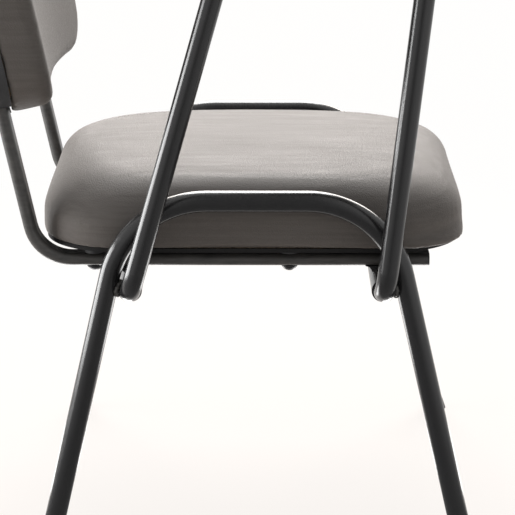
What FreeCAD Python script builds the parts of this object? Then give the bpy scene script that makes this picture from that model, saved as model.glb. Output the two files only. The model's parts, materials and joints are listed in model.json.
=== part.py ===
import FreeCAD, Part
import math
import os

import Sketcher

# Tablet arm conference chair, in millimetres.
# The floor is Z = 0 and the origin is the middle of the footprint. The sitter faces -Y, and the
# tablet arm is on the sitter's right, at -X.

V = FreeCAD.Vector
Placement = FreeCAD.Placement
Rotation = FreeCAD.Rotation
X_AXIS, Y_AXIS, Z_AXIS = V(1, 0, 0), V(0, 1, 0), V(0, 0, 1)

# Driving dimensions. Angles are in degrees.
DIMENSIONS = {
    # Fits, all radial
    "press_gap": 0.1,
    "bolt_gap": 0.3,
    "thread_gap": 0.05,
    "pin_gap": 0.02,
    "running_gap": 0.05,
    "board_gap": 0.3,
    # Leg arches
    "arch_spacing": 500.0,
    "arch_axis_height": 430.0,
    "arch_flat_length": 115.5,
    "arch_bend_radius": 117.0,
    "leg_splay": 13.1,
    "leg_tube_dia": 25.0,
    "leg_tube_wall": 1.5,
    "leg_end_height": 12.0,
    "glide_dia": 31.0,
    "glide_collar": 26.0,
    "glide_stem_length": 22.0,
    # Cross tubes and seat rails
    "cross_tube_dia": 28.0,
    "cross_tube_wall": 1.9,
    "cross_tube_height": 322.0,
    "cross_tube_length": 498.0,
    "cross_plug_cap": 3.0,
    "cross_plug_stem": 16.0,
    "cross_plug_round": 2.0,
    "weld_gap": 0.3,
    "weld_size": 15.0,
    "weld_overlap": 5.0,
    "saddle_web": 1.0,
    "saddle_depth": 9.0,
    "saddle_length": 38.0,
    "saddle_foot": 23.0,
    "saddle_width": 26.0,
    "rail_width": 30.0,
    "rail_height": 15.0,
    "rail_wall": 1.5,
    "rail_offset": 185.0,
    "rail_front_reach": 203.0,
    "rail_bend_start": 220.0,
    "rail_bend_radius": 50.0,
    "rail_plug_cap": 2.0,
    "rail_plug_stem": 14.0,
    # Seat
    "spacer_height": 11.0,
    "spacer_dia": 26.0,
    "spacer_bore": 9.0,
    "seat_board_thickness": 12.0,
    "seat_board_inset": 12.0,
    "seat_width": 462.0,
    "seat_depth": 506.0,
    "seat_shift": 4.7,
    "seat_thickness": 91.0,
    "seat_corner_radius": 98.0,
    "seat_draw_in": 3.0,
    "seat_crown_radius": 1615.0,
    "seat_edge_radius": 36.0,
    "seat_hem_radius": 6.0,
    "seat_bolt_front": -39.0,
    "seat_bolt_rear": 193.0,
    "seat_bolt_dia": 8.0,
    "seat_bolt_length": 36.0,
    "seat_bolt_head_dia": 20.0,
    "seat_bolt_head_height": 8.3,
    "seat_bolt_rim": 1.6,
    "insert_nut_dia": 11.9,
    "insert_nut_recess": 0.5,
    # Back
    "back_recline": 12.0,
    "back_base_height": 515.0,
    "back_width": 450.0,
    "back_height": 320.0,
    "back_corner_radius": 62.0,
    "back_draw_in": 4.0,
    "back_board_radius": 900.0,
    "back_board_thickness": 10.0,
    "back_board_inset": 12.0,
    "back_pad_thickness": 58.0,
    "back_front_radius": 1150.0,
    "back_edge_radius": 16.0,
    "back_upright_gap": 3.4,
    "back_insert_height": 7.0,
    "shell_depth": 25.0,
    "shell_wall": 3.0,
    "shell_radius": 6.0,
    "shell_gap": 0.2,
    "shell_slot_margin": 2.0,
    "shell_slot_height": 26.0,
    "shell_boss_dia": 13.0,
    "shell_screw_offset": 120.0,
    "shell_screw_low": 60.0,
    "shell_screw_high": 260.0,
    "shell_screw_dia": 4.0,
    "shell_screw_head_dia": 8.0,
    "shell_screw_head_height": 2.0,
    "shell_screw_recess": 2.6,
    "shell_screw_bite": 7.0,
    "upright_reach": 290.0,
    "back_bolt_low": 70.0,
    "back_bolt_high": 250.0,
    "back_bolt_dia": 6.0,
    "back_bolt_length": 27.0,
    "back_bolt_head_dia": 12.0,
    "back_bolt_head_height": 2.5,
    "back_bolt_head_round": 1.2,
    # Arm loop
    "arm_tube_dia": 24.0,
    "arm_tube_wall": 1.5,
    "arm_offset": 282.0,
    "arm_bar_height": 713.0,
    "arm_rear_top": 37.7,
    "arm_front_top": -191.5,
    "arm_elbow_radius": 32.0,
    "arm_rear_bend_radius": 50.0,
    "arm_front_bend_radius": 38.0,
    "arm_insert_end": -195.0,
    "arm_screw_position": -222.0,
    "arm_screw_dia": 6.0,
    "arm_screw_length": 8.0,
    "arm_screw_head_dia": 10.0,
    "arm_screw_head_height": 3.2,
    "arm_screw_head_round": 1.8,
    # Tablet hinge, measured from the arm bar's axis
    "hinge_centre": -75.0,
    "hinge_length": 70.0,
    "hinge_half_width": 28.0,
    "hinge_top": 20.0,
    "hinge_shoulder": 8.0,
    "hinge_ear": 10.0,
    "hinge_split": 0.25,
    "hinge_screw_offset": 22.5,
    "hinge_screw_pitch": 52.0,
    "hinge_screw_dia": 5.0,
    "hinge_screw_length": 20.0,
    "hinge_screw_head_dia": 8.6,
    "hinge_screw_head_height": 4.0,
    "hinge_screw_socket_dia": 4.0,
    "hinge_screw_socket_depth": 2.0,
    "liner_wall": 1.5,
    "wing_start": 20.0,
    "wing_reach": 68.0,
    "wing_length": 100.0,
    "wing_thickness": 10.0,
    "wing_corner_radius": 14.0,
    "fin_thickness": 6.0,
    "fin_reach": 34.0,
    "fin_inset": 2.0,
    "collar_dia": 36.0,
    "collar_width": 12.0,
    "collar_side_gap": 0.4,
    "grub_socket_dia": 2.8,
    "grub_socket_depth": 2.0,
    "tongue_root": 8.0,
    "tongue_reach": 44.0,
    "tongue_thickness": 6.0,
    "tongue_round": 2.0,
    "stop_gap": 0.2,
    # Tablet swivel and board
    "pivot_reach": 44.0,
    "pivot_dia": 12.0,
    "pivot_tail": 2.0,
    "pivot_head_dia": 22.0,
    "pivot_head_height": 3.0,
    "friction_washer_dia": 26.0,
    "friction_washer_height": 1.5,
    "swivel_washer_dia": 28.0,
    "swivel_washer_height": 2.0,
    "swivel_nut_flats": 19.0,
    "swivel_nut_height": 7.0,
    "stop_pin_dia": 5.0,
    "stop_pin_radius": 17.0,
    "stop_pin_depth": 9.0,
    "swivel_range": 90.0,
    "plate_thickness": 3.0,
    "plate_start": 8.0,
    "plate_width": 84.0,
    "plate_length": 110.0,
    "plate_corner_radius": 16.0,
    "plate_screw_inset": 10.0,
    "plate_screw_dia": 4.0,
    "plate_screw_length": 13.0,
    "plate_screw_point": 1.5,
    "plate_screw_head_dia": 8.0,
    "plate_screw_head_height": 1.7,
    "tablet_thickness": 18.0,
    "tablet_band": 2.5,
    "tablet_band_round": 2.2,
    # Tablet outline: X is measured inboard from the arm bar, Y in the chair's frame
    "tablet_rear": 40.0,
    "tablet_front": -330.0,
    "tablet_outer_rear": -36.0,
    "tablet_outer_front": -20.0,
    "tablet_inner_front": 232.0,
    "tablet_shoulder_x": 250.0,
    "tablet_shoulder_y": -104.0,
    "tablet_waist_x": 106.0,
    "tablet_waist_y": -60.0,
    "tablet_inner_rear": 84.0,
    "tablet_rear_radius": 44.0,
    "tablet_outer_radius": 70.0,
    "tablet_front_radius": 85.0,
    "tablet_shoulder_radius": 58.0,
    "tablet_waist_radius": 80.0,
}

doc = FreeCAD.newDocument("tablet_arm_chair")
sheet = doc.addObject("Spreadsheet::Sheet", "Sheet")
sub_parts = []


def fill_sheet():
    for row, (alias, value) in enumerate(DIMENSIONS.items(), start=1):
        sheet.set(f"A{row}", alias)
        sheet.set(f"B{row}", str(value))
        sheet.setAlias(f"B{row}", alias)
    doc.recompute()


def dim(alias):
    return float(sheet.get(alias))


fill_sheet()

# Places that follow from the driving dimensions
ARCH_X = dim("arch_spacing") / 2
SPLAY = math.radians(dim("leg_splay"))
ARCH_TURN = math.pi / 2 - SPLAY
ARCH_CORNER_Y = dim("arch_flat_length") / 2 + dim("arch_bend_radius") * math.tan(ARCH_TURN / 2)
FOOT_Y = ARCH_CORNER_Y + (dim("arch_axis_height") - dim("leg_end_height")) * math.tan(SPLAY)
CROSS_Z = dim("cross_tube_height")
CROSS_RADIUS = dim("cross_tube_dia") / 2
LEG_RADIUS = dim("leg_tube_dia") / 2
LEG_Y_AT_CROSS = ARCH_CORNER_Y + (dim("arch_axis_height") - CROSS_Z) * math.tan(SPLAY)
LEG_TO_CROSS = LEG_RADIUS + CROSS_RADIUS + dim("weld_gap")
CROSS_Y = LEG_Y_AT_CROSS - LEG_TO_CROSS / math.cos(SPLAY)
RAIL_BOTTOM = CROSS_Z + CROSS_RADIUS + dim("saddle_web")
RAIL_Z = RAIL_BOTTOM + dim("rail_height") / 2
RAIL_TOP = RAIL_BOTTOM + dim("rail_height")
SEAT_BOTTOM = RAIL_TOP + dim("spacer_height")
SEAT_BOLT_YS = (dim("seat_bolt_front"), dim("seat_bolt_rear"))
BACK_BOLT_HEIGHTS = (dim("back_bolt_low"), dim("back_bolt_high"))
RECLINE = math.radians(dim("back_recline"))
RAIL_CORNER_Y = dim("rail_bend_start") + dim("rail_bend_radius") * math.tan((math.pi / 2 - RECLINE) / 2)
BACK_Y = RAIL_CORNER_Y + (dim("back_base_height") - RAIL_Z) * math.tan(RECLINE)
BACK_FRAME = Placement(V(0, BACK_Y, dim("back_base_height")), Rotation(X_AXIS, -dim("back_recline")))
TOUCH = 1e-3
SIDES = {"right": -1, "left": 1}
ENDS = {"front": -1, "rear": 1}
BAR = V(-dim("arm_offset"), dim("hinge_centre"), dim("arm_bar_height"))
PIVOT_X = BAR.x + dim("pivot_reach")
PLATE_BOTTOM = BAR.z + dim("hinge_top") + dim("friction_washer_height") + dim("stop_gap") / 2
TABLET_BOTTOM = PLATE_BOTTOM + dim("plate_thickness")
WING_BOTTOM = dim("hinge_top") - dim("wing_thickness")
NUT_TOP = BAR.z + WING_BOTTOM - dim("stop_gap") / 2 - dim("swivel_washer_height")


def keep(obj, label):
    obj.Label = label
    sub_parts.append(obj)
    return obj


def bind(obj, **expressions):
    for prop, expression in expressions.items():
        obj.setExpression(prop, expression)
    return obj


def value_of(expression):
    """The number that a sheet expression gives, used to draw a sketch at its bound size."""
    probe = doc.addObject("Part::Box", "probe")
    probe.setExpression("Length", expression)
    doc.recompute([probe])
    number = probe.Length.Value
    doc.removeObject(probe.Name)
    return number


# Outlines

def rounded(corners, closed=True):
    """Lines and tangent arcs along a run of (point, radius) corners."""
    count = len(corners)
    tangents = []
    for i, (here, radius) in enumerate(corners):
        if radius == 0:
            tangents.append((here, here, None))
            continue
        back = (corners[i - 1][0] - here).normalize()
        ahead = (corners[(i + 1) % count][0] - here).normalize()
        half = back.getAngle(ahead) / 2
        length = radius / math.tan(half)
        middle = here + (back + ahead).normalize() * (radius / math.sin(half) - radius)
        tangents.append((here + back * length, here + ahead * length, middle))
    edges = []
    for i, (start, end, middle) in enumerate(tangents):
        if middle is not None:
            edges.append(Part.Arc(start, middle, end))
        if closed or i < count - 1:
            following = tangents[(i + 1) % count][0]
            if (following - end).Length > TOUCH:
                edges.append(Part.LineSegment(end, following))
    return edges


def polygon(points, radius=0.0):
    return rounded([(V(x, y, 0), radius) for x, y in points])


def rectangle(x0, y0, x1, y1, radius=0.0):
    return polygon([(x0, y0), (x1, y0), (x1, y1), (x0, y1)], radius)


def flat_oval(x, y, width, height):
    """Two straight sides joined by half rounds."""
    run = width / 2 - height / 2
    low, high = y - height / 2, y + height / 2
    return [
        Part.LineSegment(V(x - run, low, 0), V(x + run, low, 0)),
        Part.Arc(V(x + run, low, 0), V(x + width / 2, y, 0), V(x + run, high, 0)),
        Part.LineSegment(V(x + run, high, 0), V(x - run, high, 0)),
        Part.Arc(V(x - run, high, 0), V(x - width / 2, y, 0), V(x - run, low, 0)),
    ]


def drawn_in(half_x, half_y, corner, draw, centre=V()):
    """A cushion's plan: round corners joined by sides that pull in by draw at their middle."""
    a, b = half_x - corner, half_y - corner
    reach_y = half_y - draw + (a * a + draw * draw) / (2 * draw) - corner
    reach_x = half_x - draw + (b * b + draw * draw) / (2 * draw) - corner
    ring = []
    for sx, sy in ((1, 1), (-1, 1), (-1, -1), (1, -1)):
        middle = V(sx * a, sy * b, 0)
        to_x = (V(sx * reach_x, 0, 0) - middle).normalize()
        to_y = (V(0, sy * reach_y, 0) - middle).normalize()
        first, last = (to_x, to_y) if sx == sy else (to_y, to_x)
        side = V(0, sy * (half_y - draw), 0) if sx == sy else V(sx * (half_x - draw), 0, 0)
        bisector = (first + last).normalize()
        ring.append((middle + first * corner, middle + bisector * corner, middle + last * corner, side))
    edges = []
    for i, (start, bend, end, side) in enumerate(ring):
        following = ring[(i + 1) % len(ring)][0]
        edges.append(Part.Arc(start + centre, bend + centre, end + centre))
        edges.append(Part.Arc(end + centre, side + centre, following + centre))
    return edges


def curved_band(half_width, rear_middle, rear_radius, front_middle, front_radius):
    """The plan of a sheet bent round the sitter's back, between two arcs."""
    def arc(middle, radius):
        sag = radius - math.sqrt(radius * radius - half_width * half_width)
        return V(-half_width, middle - sag, 0), V(0, middle, 0), V(half_width, middle - sag, 0)
    rear, front = arc(rear_middle, rear_radius), arc(front_middle, front_radius)
    return [
        Part.Arc(*rear),
        Part.LineSegment(rear[2], front[2]),
        Part.Arc(front[2], front[1], front[0]),
        Part.LineSegment(front[0], rear[0]),
    ]


# Features of a body

def new_body(name):
    return doc.addObject("PartDesign::Body", name)


def origin_plane(body, role):
    return next(feature for feature in body.Origin.OriginFeatures if feature.Role == role)


def sketch(body, role, offset=0.0, edges=()):
    drawing = body.newObject("Sketcher::SketchObject", "sketch")
    drawing.AttachmentSupport = (origin_plane(body, role), [""])
    drawing.MapMode = "FlatFace"
    drawing.AttachmentOffset = Placement(V(0, 0, offset), Rotation())
    for edge in edges:
        drawing.addGeometry(edge, False)
    return drawing


def circle(drawing, x, y, radius_expression):
    radius = value_of(radius_expression)
    index = drawing.addGeometry(Part.Circle(V(x, y, 0), Z_AXIS, radius), False)
    constraint = drawing.addConstraint(Sketcher.Constraint("Radius", index, radius))
    drawing.setExpression(f"Constraints[{constraint}]", radius_expression)


def pad(body, drawing, length, side="One side", reverse=False):
    feature = body.newObject("PartDesign::Pad", "pad")
    feature.Profile = drawing
    feature.SideType = side
    feature.Reversed = reverse
    bind(feature, Length=length)
    doc.recompute()
    return feature


def pocket(body, drawing, length=None, reverse=False):
    """A pocket of the given depth, or right through both ways. It has to remove material."""
    before = body.Shape.Volume
    feature = body.newObject("PartDesign::Pocket", "pocket")
    feature.Profile = drawing
    if length is None:
        feature.Type = "ThroughAll"
        feature.SideType = "Symmetric"
    else:
        feature.Reversed = reverse
        bind(feature, Length=length)
    doc.recompute()
    if body.Shape.Volume >= before - TOUCH:
        raise RuntimeError(f"a pocket in {body.Name} cuts nothing")
    return feature


def revolved_body(name, edges, placement=Placement()):
    """A turned piece: the edges are drawn as radius and height, and turned about the body's Z axis."""
    body = new_body(name)
    profile = sketch(body, "XZ_Plane", 0.0, edges)
    feature = body.newObject("PartDesign::Revolution", "turning")
    feature.Profile = profile
    feature.ReferenceAxis = (profile, ["V_Axis"])
    feature.Angle = 360
    body.Placement = placement
    return body


def piped(body, profile, path):
    feature = body.newObject("PartDesign::AdditivePipe", "pipe")
    feature.Profile = profile
    feature.Spine = (path, [f"Edge{i + 1}" for i in range(path.GeometryCount)])
    return feature


# Primitives and booleans

def cylinder(radius, height, base, axis=Z_AXIS):
    obj = doc.addObject("Part::Cylinder", "cylinder")
    obj.Placement = Placement(base, Rotation(Z_AXIS, axis))
    return bind(obj, Radius=radius, Height=height)


def block(size, corner, frame=Placement()):
    obj = doc.addObject("Part::Box", "block")
    obj.Length, obj.Width, obj.Height = size
    obj.Placement = frame.multiply(Placement(corner, Rotation()))
    return obj


def fused(*objects):
    obj = doc.addObject("Part::MultiFuse", "fusion")
    obj.Shapes = list(objects)
    return obj


def cut(base, *tools):
    obj = doc.addObject("Part::Cut", "cut")
    obj.Base = base
    obj.Tool = tools[0] if len(tools) == 1 else fused(*tools)
    return obj


def common(base, tool):
    obj = doc.addObject("Part::Common", "common")
    obj.Base, obj.Tool = base, tool
    return obj


def extruded(edges, placement, length):
    drawing = doc.addObject("Sketcher::SketchObject", "outline")
    for edge in edges:
        drawing.addGeometry(edge, False)
    drawing.Placement = placement
    obj = doc.addObject("Part::Extrusion", "extrusion")
    obj.Base = drawing
    obj.DirMode = "Normal"
    obj.Solid = True
    bind(obj, LengthFwd=length)
    return obj


def filleted(base, radius, chosen):
    """Rounds every edge of base that chosen accepts."""
    doc.recompute()
    obj = doc.addObject("Part::Fillet", "fillet")
    obj.Base = base
    numbers = [i for i, edge in enumerate(base.Shape.Edges, start=1) if chosen(edge)]
    obj.Edges = [(i, dim(radius), dim(radius)) for i in numbers]
    return obj


def group(label, master, placements):
    """Identical pieces in one node, as separate solids."""
    doc.recompute()
    solids = []
    for placement in placements:
        copy = master.Shape.copy()
        copy.Placement = placement.multiply(copy.Placement)
        solids.append(copy)
    obj = doc.addObject("Part::Feature", label)
    obj.Shape = Part.makeCompound(solids)
    return keep(obj, label)


# Frame

def leg_arch(label, side):
    body = new_body(label)
    height = dim("arch_axis_height")
    corners = [
        (V(0, height, 0), 0),
        (V(ARCH_CORNER_Y, height, 0), dim("arch_bend_radius")),
        (V(FOOT_Y, dim("leg_end_height"), 0), 0),
    ]
    path = sketch(body, "YZ_Plane", side * ARCH_X, rounded(corners, closed=False))
    section = sketch(body, "XZ_Plane")
    circle(section, side * ARCH_X, height, "Sheet.leg_tube_dia / 2")
    circle(section, side * ARCH_X, height, "Sheet.leg_tube_dia / 2 - Sheet.leg_tube_wall")
    half = piped(body, section, path)
    doc.recompute()
    mirror = body.newObject("PartDesign::Mirrored", "mirror")
    mirror.Originals = [half]
    mirror.MirrorPlane = (origin_plane(body, "XZ_Plane"), [""])
    body.Tip = mirror
    return keep(body, label)


def leg_direction(end):
    """Up along a leg."""
    return V(0, -end * math.sin(SPLAY), math.cos(SPLAY))


def foot_glide(label, side, end):
    tube_end = V(side * ARCH_X, end * FOOT_Y, dim("leg_end_height"))
    up = leg_direction(end)
    stem_radius = "Sheet.leg_tube_dia / 2 - Sheet.leg_tube_wall - Sheet.press_gap"
    stem = cylinder(stem_radius, "Sheet.glide_stem_length", tube_end, up)
    foot = doc.addObject("Part::Cone", "glide_foot")
    foot.Placement = Placement(tube_end, Rotation(Z_AXIS, up * -1))
    bind(foot, Radius1="Sheet.glide_collar / 2", Radius2="Sheet.glide_dia / 2",
         Height="Sheet.leg_end_height * 2")
    spread = dim("glide_dia") * 2
    floor = block((spread, spread, spread), V(tube_end.x - spread / 2, tube_end.y - spread / 2, -spread))
    return keep(cut(fused(stem, foot), floor), label)


def cross_tube(label, end):
    start = V(-dim("cross_tube_length") / 2, end * CROSS_Y, CROSS_Z)
    outer = cylinder("Sheet.cross_tube_dia / 2", "Sheet.cross_tube_length", start, X_AXIS)
    bore_radius = "Sheet.cross_tube_dia / 2 - Sheet.cross_tube_wall"
    bore = cylinder(bore_radius, "Sheet.cross_tube_length", start, X_AXIS)
    screw_radius = "Sheet.arm_screw_dia / 2 + Sheet.bolt_gap"
    screw_hole = cylinder(screw_radius, "Sheet.cross_tube_dia / 2", arm_screw_place(end).Base)
    return keep(cut(outer, bore, screw_hole), label)


def cross_tube_plug(label, end):
    mouth = V(dim("cross_tube_length") / 2, end * CROSS_Y, CROSS_Z)
    stem = CROSS_RADIUS - dim("cross_tube_wall") - dim("press_gap")
    tail, cap, edge = -dim("cross_plug_stem"), dim("cross_plug_cap"), dim("cross_plug_round")
    edges = rounded([
        (V(0, tail, 0), 0), (V(stem, tail, 0), edge), (V(stem, 0, 0), 0),
        (V(CROSS_RADIUS, 0, 0), 0), (V(CROSS_RADIUS, cap, 0), edge), (V(0, cap, 0), 0),
    ])
    return keep(revolved_body(label, edges, Placement(mouth, Rotation(Z_AXIS, X_AXIS))), label)


def leg_welds():
    """Weld metal in the gap where a cross tube passes beside a leg."""
    size, overlap = dim("weld_size"), dim("weld_overlap")
    reach = LEG_TO_CROSS - overlap
    solids = []
    for side in SIDES.values():
        for end in ENDS.values():
            up = leg_direction(end)
            on_leg = V(side * ARCH_X, end * LEG_Y_AT_CROSS, CROSS_Z) + up * (LEG_TO_CROSS * math.tan(SPLAY))
            frame = Placement(on_leg, Rotation(X_AXIS, end * dim("leg_splay")))
            inner = -overlap - reach if end > 0 else overlap
            box = block((size, reach, size), V(-size / 2, inner, -size / 2), frame)
            leg = cylinder("Sheet.leg_tube_dia / 2", "Sheet.weld_size * 4", on_leg - up * (2 * size), up)
            tube_start = V(on_leg.x - 2 * size, end * CROSS_Y, CROSS_Z)
            tube = cylinder("Sheet.cross_tube_dia / 2", "Sheet.weld_size * 4", tube_start, X_AXIS)
            solids.append(cut(box, leg, tube))
    welds = doc.addObject("Part::Compound", "leg_weld_group")
    welds.Links = solids
    return keep(welds, "leg_welds")


def saddle_profile():
    """Hollow-sided section under a rail, from the rail's flat down to the sides of the cross tube."""
    half, foot = dim("saddle_length") / 2, dim("saddle_foot") / 2
    low = -dim("saddle_depth") - dim("saddle_web")
    bow_y, bow_z = foot + (half - foot) / 4, low / 4
    return [
        Part.Arc(V(-half, 0, 0), V(-bow_y, bow_z, 0), V(-foot, low, 0)),
        Part.LineSegment(V(-foot, low, 0), V(foot, low, 0)),
        Part.Arc(V(foot, low, 0), V(bow_y, bow_z, 0), V(half, 0, 0)),
        Part.LineSegment(V(half, 0, 0), V(-half, 0, 0)),
    ]


def rail_saddles():
    """Cradles that carry the rails on the cross tubes."""
    width = dim("saddle_width")
    turn = Rotation(Y_AXIS, Z_AXIS, X_AXIS, "ZXY")
    solids = []
    for side in SIDES.values():
        for end in ENDS.values():
            middle = V(side * dim("rail_offset"), end * CROSS_Y, RAIL_BOTTOM)
            place = Placement(middle - V(width / 2, 0, 0), turn)
            body = extruded(saddle_profile(), place, "Sheet.saddle_width")
            start = middle - V(width, 0, dim("saddle_web") + CROSS_RADIUS)
            tube = cylinder("Sheet.cross_tube_dia / 2", "Sheet.saddle_width * 2", start, X_AXIS)
            solids.append(cut(body, tube))
    saddles = doc.addObject("Part::Compound", "rail_saddle_group")
    saddles.Links = solids
    return keep(saddles, "rail_saddles")


def upright_point(height, depth=0.0, x=0.0):
    """A point by its height along the back and its depth behind the uprights' axis."""
    return BACK_FRAME.multVec(V(x, depth, height))


def seat_rail(label, side):
    """Flat-oval rail under the seat that bends up into a back upright."""
    body = new_body(label + "_tube")
    x = side * dim("rail_offset")
    top = upright_point(dim("upright_reach"))
    corners = [
        (V(-dim("rail_front_reach"), RAIL_Z, 0), 0),
        (V(RAIL_CORNER_Y, RAIL_Z, 0), dim("rail_bend_radius")),
        (V(top.y, top.z, 0), 0),
    ]
    path = sketch(body, "YZ_Plane", x, rounded(corners, closed=False))
    width, height, wall = dim("rail_width"), dim("rail_height"), dim("rail_wall")
    outer = flat_oval(x, RAIL_Z, width, height)
    inner = flat_oval(x, RAIL_Z, width - 2 * wall, height - 2 * wall)
    piped(body, sketch(body, "XZ_Plane", dim("rail_front_reach"), outer + inner), path)
    holes = []
    for y in SEAT_BOLT_YS:
        start = V(x, y, RAIL_BOTTOM - height / 2)
        holes.append(cylinder("Sheet.seat_bolt_dia / 2 + Sheet.bolt_gap", "Sheet.rail_height * 2", start))
    for reach in BACK_BOLT_HEIGHTS:
        start = upright_point(reach, height, x)
        radius = "Sheet.back_bolt_dia / 2 + Sheet.bolt_gap"
        holes.append(cylinder(radius, "Sheet.rail_height * 2", start, back_forward()))
    return keep(cut(body, *holes), label)


def back_forward():
    """From the back towards the sitter, square to the uprights."""
    return BACK_FRAME.Rotation.multVec(Y_AXIS * -1)


def rail_plug(label, side):
    body = new_body(label)
    x = side * dim("rail_offset")
    width, height, mouth = dim("rail_width"), dim("rail_height"), dim("rail_front_reach")
    inset = 2 * (dim("rail_wall") + dim("press_gap"))
    cap = sketch(body, "XZ_Plane", mouth, flat_oval(x, RAIL_Z, width, height))
    pad(body, cap, "Sheet.rail_plug_cap")
    stem = sketch(body, "XZ_Plane", mouth, flat_oval(x, RAIL_Z, width - inset, height - inset))
    pad(body, stem, "Sheet.rail_plug_stem", reverse=True)
    return keep(body, label)


# Seat

def seat_bolt_places(height):
    return [
        Placement(V(side * dim("rail_offset"), y, height), Rotation())
        for side in SIDES.values() for y in SEAT_BOLT_YS
    ]


def domed_head(radius, rise, rim):
    """Half section of a domed head under the XY plane, from the axis out to the rim."""
    sphere = (radius ** 2 + (rise - rim) ** 2) / (2 * (rise - rim))
    half_turn = math.asin(radius / sphere) / 2
    bend = V(sphere * math.sin(half_turn), sphere * (1 - math.cos(half_turn)) - rise, 0)
    return [
        Part.Arc(V(0, -rise, 0), bend, V(radius, -rim, 0)),
        Part.LineSegment(V(radius, -rim, 0), V(radius, 0, 0)),
    ]


def seat_bolts():
    head, shank, length = dim("seat_bolt_head_dia") / 2, dim("seat_bolt_dia") / 2, dim("seat_bolt_length")
    rise = dim("seat_bolt_head_height")
    edges = domed_head(head, rise, dim("seat_bolt_rim")) + [
        Part.LineSegment(V(head, 0, 0), V(shank, 0, 0)),
        Part.LineSegment(V(shank, 0, 0), V(shank, length, 0)),
        Part.LineSegment(V(shank, length, 0), V(0, length, 0)),
        Part.LineSegment(V(0, length, 0), V(0, -rise, 0)),
    ]
    return group("seat_bolts", revolved_body("seat_bolt", edges), seat_bolt_places(RAIL_BOTTOM))


def ring_body(name, outer, inner, height):
    body = new_body(name)
    drawing = sketch(body, "XY_Plane")
    circle(drawing, 0, 0, outer)
    circle(drawing, 0, 0, inner)
    pad(body, drawing, height)
    return body


def seat_spacers():
    ring = ring_body("seat_spacer", "Sheet.spacer_dia / 2", "Sheet.spacer_bore / 2", "Sheet.spacer_height")
    return group("seat_spacers", ring, seat_bolt_places(RAIL_TOP))


def seat_inserts():
    ring = ring_body("seat_insert", "Sheet.insert_nut_dia / 2", "Sheet.seat_bolt_dia / 2 + Sheet.thread_gap",
                     "Sheet.seat_board_thickness - 2 * Sheet.insert_nut_recess")
    return group("seat_insert_nuts", ring, seat_bolt_places(SEAT_BOTTOM + dim("insert_nut_recess")))


def seat_board_outline(grow=0.0):
    inset = dim("seat_board_inset") - grow
    half_x, half_y = dim("seat_width") / 2 - inset, dim("seat_depth") / 2 - inset
    y = dim("seat_shift")
    return rectangle(-half_x, y - half_y, half_x, y + half_y, dim("seat_corner_radius") - inset)


def seat_board():
    body = new_body("seat_board")
    pad(body, sketch(body, "XY_Plane", SEAT_BOTTOM, seat_board_outline()), "Sheet.seat_board_thickness")
    holes = sketch(body, "XY_Plane", SEAT_BOTTOM)
    for place in seat_bolt_places(0):
        circle(holes, place.Base.x, place.Base.y, "Sheet.insert_nut_dia / 2 + Sheet.thread_gap")
    pocket(body, holes)
    return keep(body, "seat_board")


def seat_cushion():
    """Foam and cover over the board: domed top, sides drawn in between the corners, round edges."""
    level = Placement(V(0, 0, SEAT_BOTTOM), Rotation())
    outline = drawn_in(dim("seat_width") / 2, dim("seat_depth") / 2, dim("seat_corner_radius"),
                       dim("seat_draw_in"), V(0, dim("seat_shift"), 0))
    slab = extruded(outline, level, "Sheet.seat_thickness + Sheet.seat_edge_radius")
    dome = doc.addObject("Part::Sphere", "seat_dome")
    bind(dome, Radius="Sheet.seat_crown_radius")
    crown = SEAT_BOTTOM + dim("seat_thickness")
    dome.Placement.Base = V(0, dim("seat_shift"), crown - dim("seat_crown_radius"))
    domed = common(slab, dome)
    middle = SEAT_BOTTOM + dim("seat_thickness") / 2
    top = filleted(domed, "seat_edge_radius", lambda edge: edge.BoundBox.ZMin > middle)
    soft = filleted(top, "seat_hem_radius", lambda edge: edge.CenterOfMass.z < SEAT_BOTTOM + TOUCH)
    recess = extruded(seat_board_outline(dim("board_gap")), level, "Sheet.seat_board_thickness")
    return keep(cut(soft, recess), "seat_cushion")


# Back, drawn in the frame of the reclined uprights

def bend_sag(radius, x):
    """How far a sheet bent round the sitter comes forward at x from its middle."""
    return radius - math.sqrt(radius * radius - x * x)


def back_board_rear(x=0.0):
    """Depth of the back board's rear face, which clears both uprights."""
    radius = dim("back_board_radius")
    at_upright = -dim("rail_height") / 2 - dim("back_upright_gap")
    return at_upright + bend_sag(radius, dim("rail_offset")) - bend_sag(radius, x)


def back_slab(rear_middle, rear_radius, front_middle, front_radius):
    """A bent slab that is larger than the back's outline all round."""
    margin = dim("back_corner_radius") / 10
    edges = curved_band(dim("back_width") / 2 + margin, rear_middle, rear_radius, front_middle, front_radius)
    place = BACK_FRAME.multiply(Placement(V(0, 0, -margin), Rotation()))
    return extruded(edges, place, "Sheet.back_height + Sheet.back_corner_radius / 5")


def back_outline(inset=0.0):
    """A prism of the back's outline, deep enough to cut any of its slabs."""
    half_x, half_z = dim("back_width") / 2 - inset, dim("back_height") / 2 - inset
    edges = drawn_in(half_x, half_z, dim("back_corner_radius") - inset, dim("back_draw_in"))
    place = Placement(V(0, 2 * dim("back_pad_thickness"), dim("back_height") / 2), Rotation(X_AXIS, 90))
    return extruded(edges, BACK_FRAME.multiply(place), "Sheet.back_pad_thickness * 4")


def board_form(grow=0.0):
    rear, radius = back_board_rear(), dim("back_board_radius")
    deep = dim("back_board_thickness") + grow
    slab = back_slab(rear + grow, radius + grow, rear - deep, radius - deep)
    return common(slab, back_outline(dim("back_board_inset") - grow))


def facing_forward(height, depth, x):
    """A place on the back whose Z axis points at the sitter."""
    return Placement(upright_point(height, depth, x), Rotation(Z_AXIS, back_forward()))


def back_bolt_places(depth):
    return [
        facing_forward(reach, depth, side * dim("rail_offset"))
        for side in SIDES.values() for reach in BACK_BOLT_HEIGHTS
    ]


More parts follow.
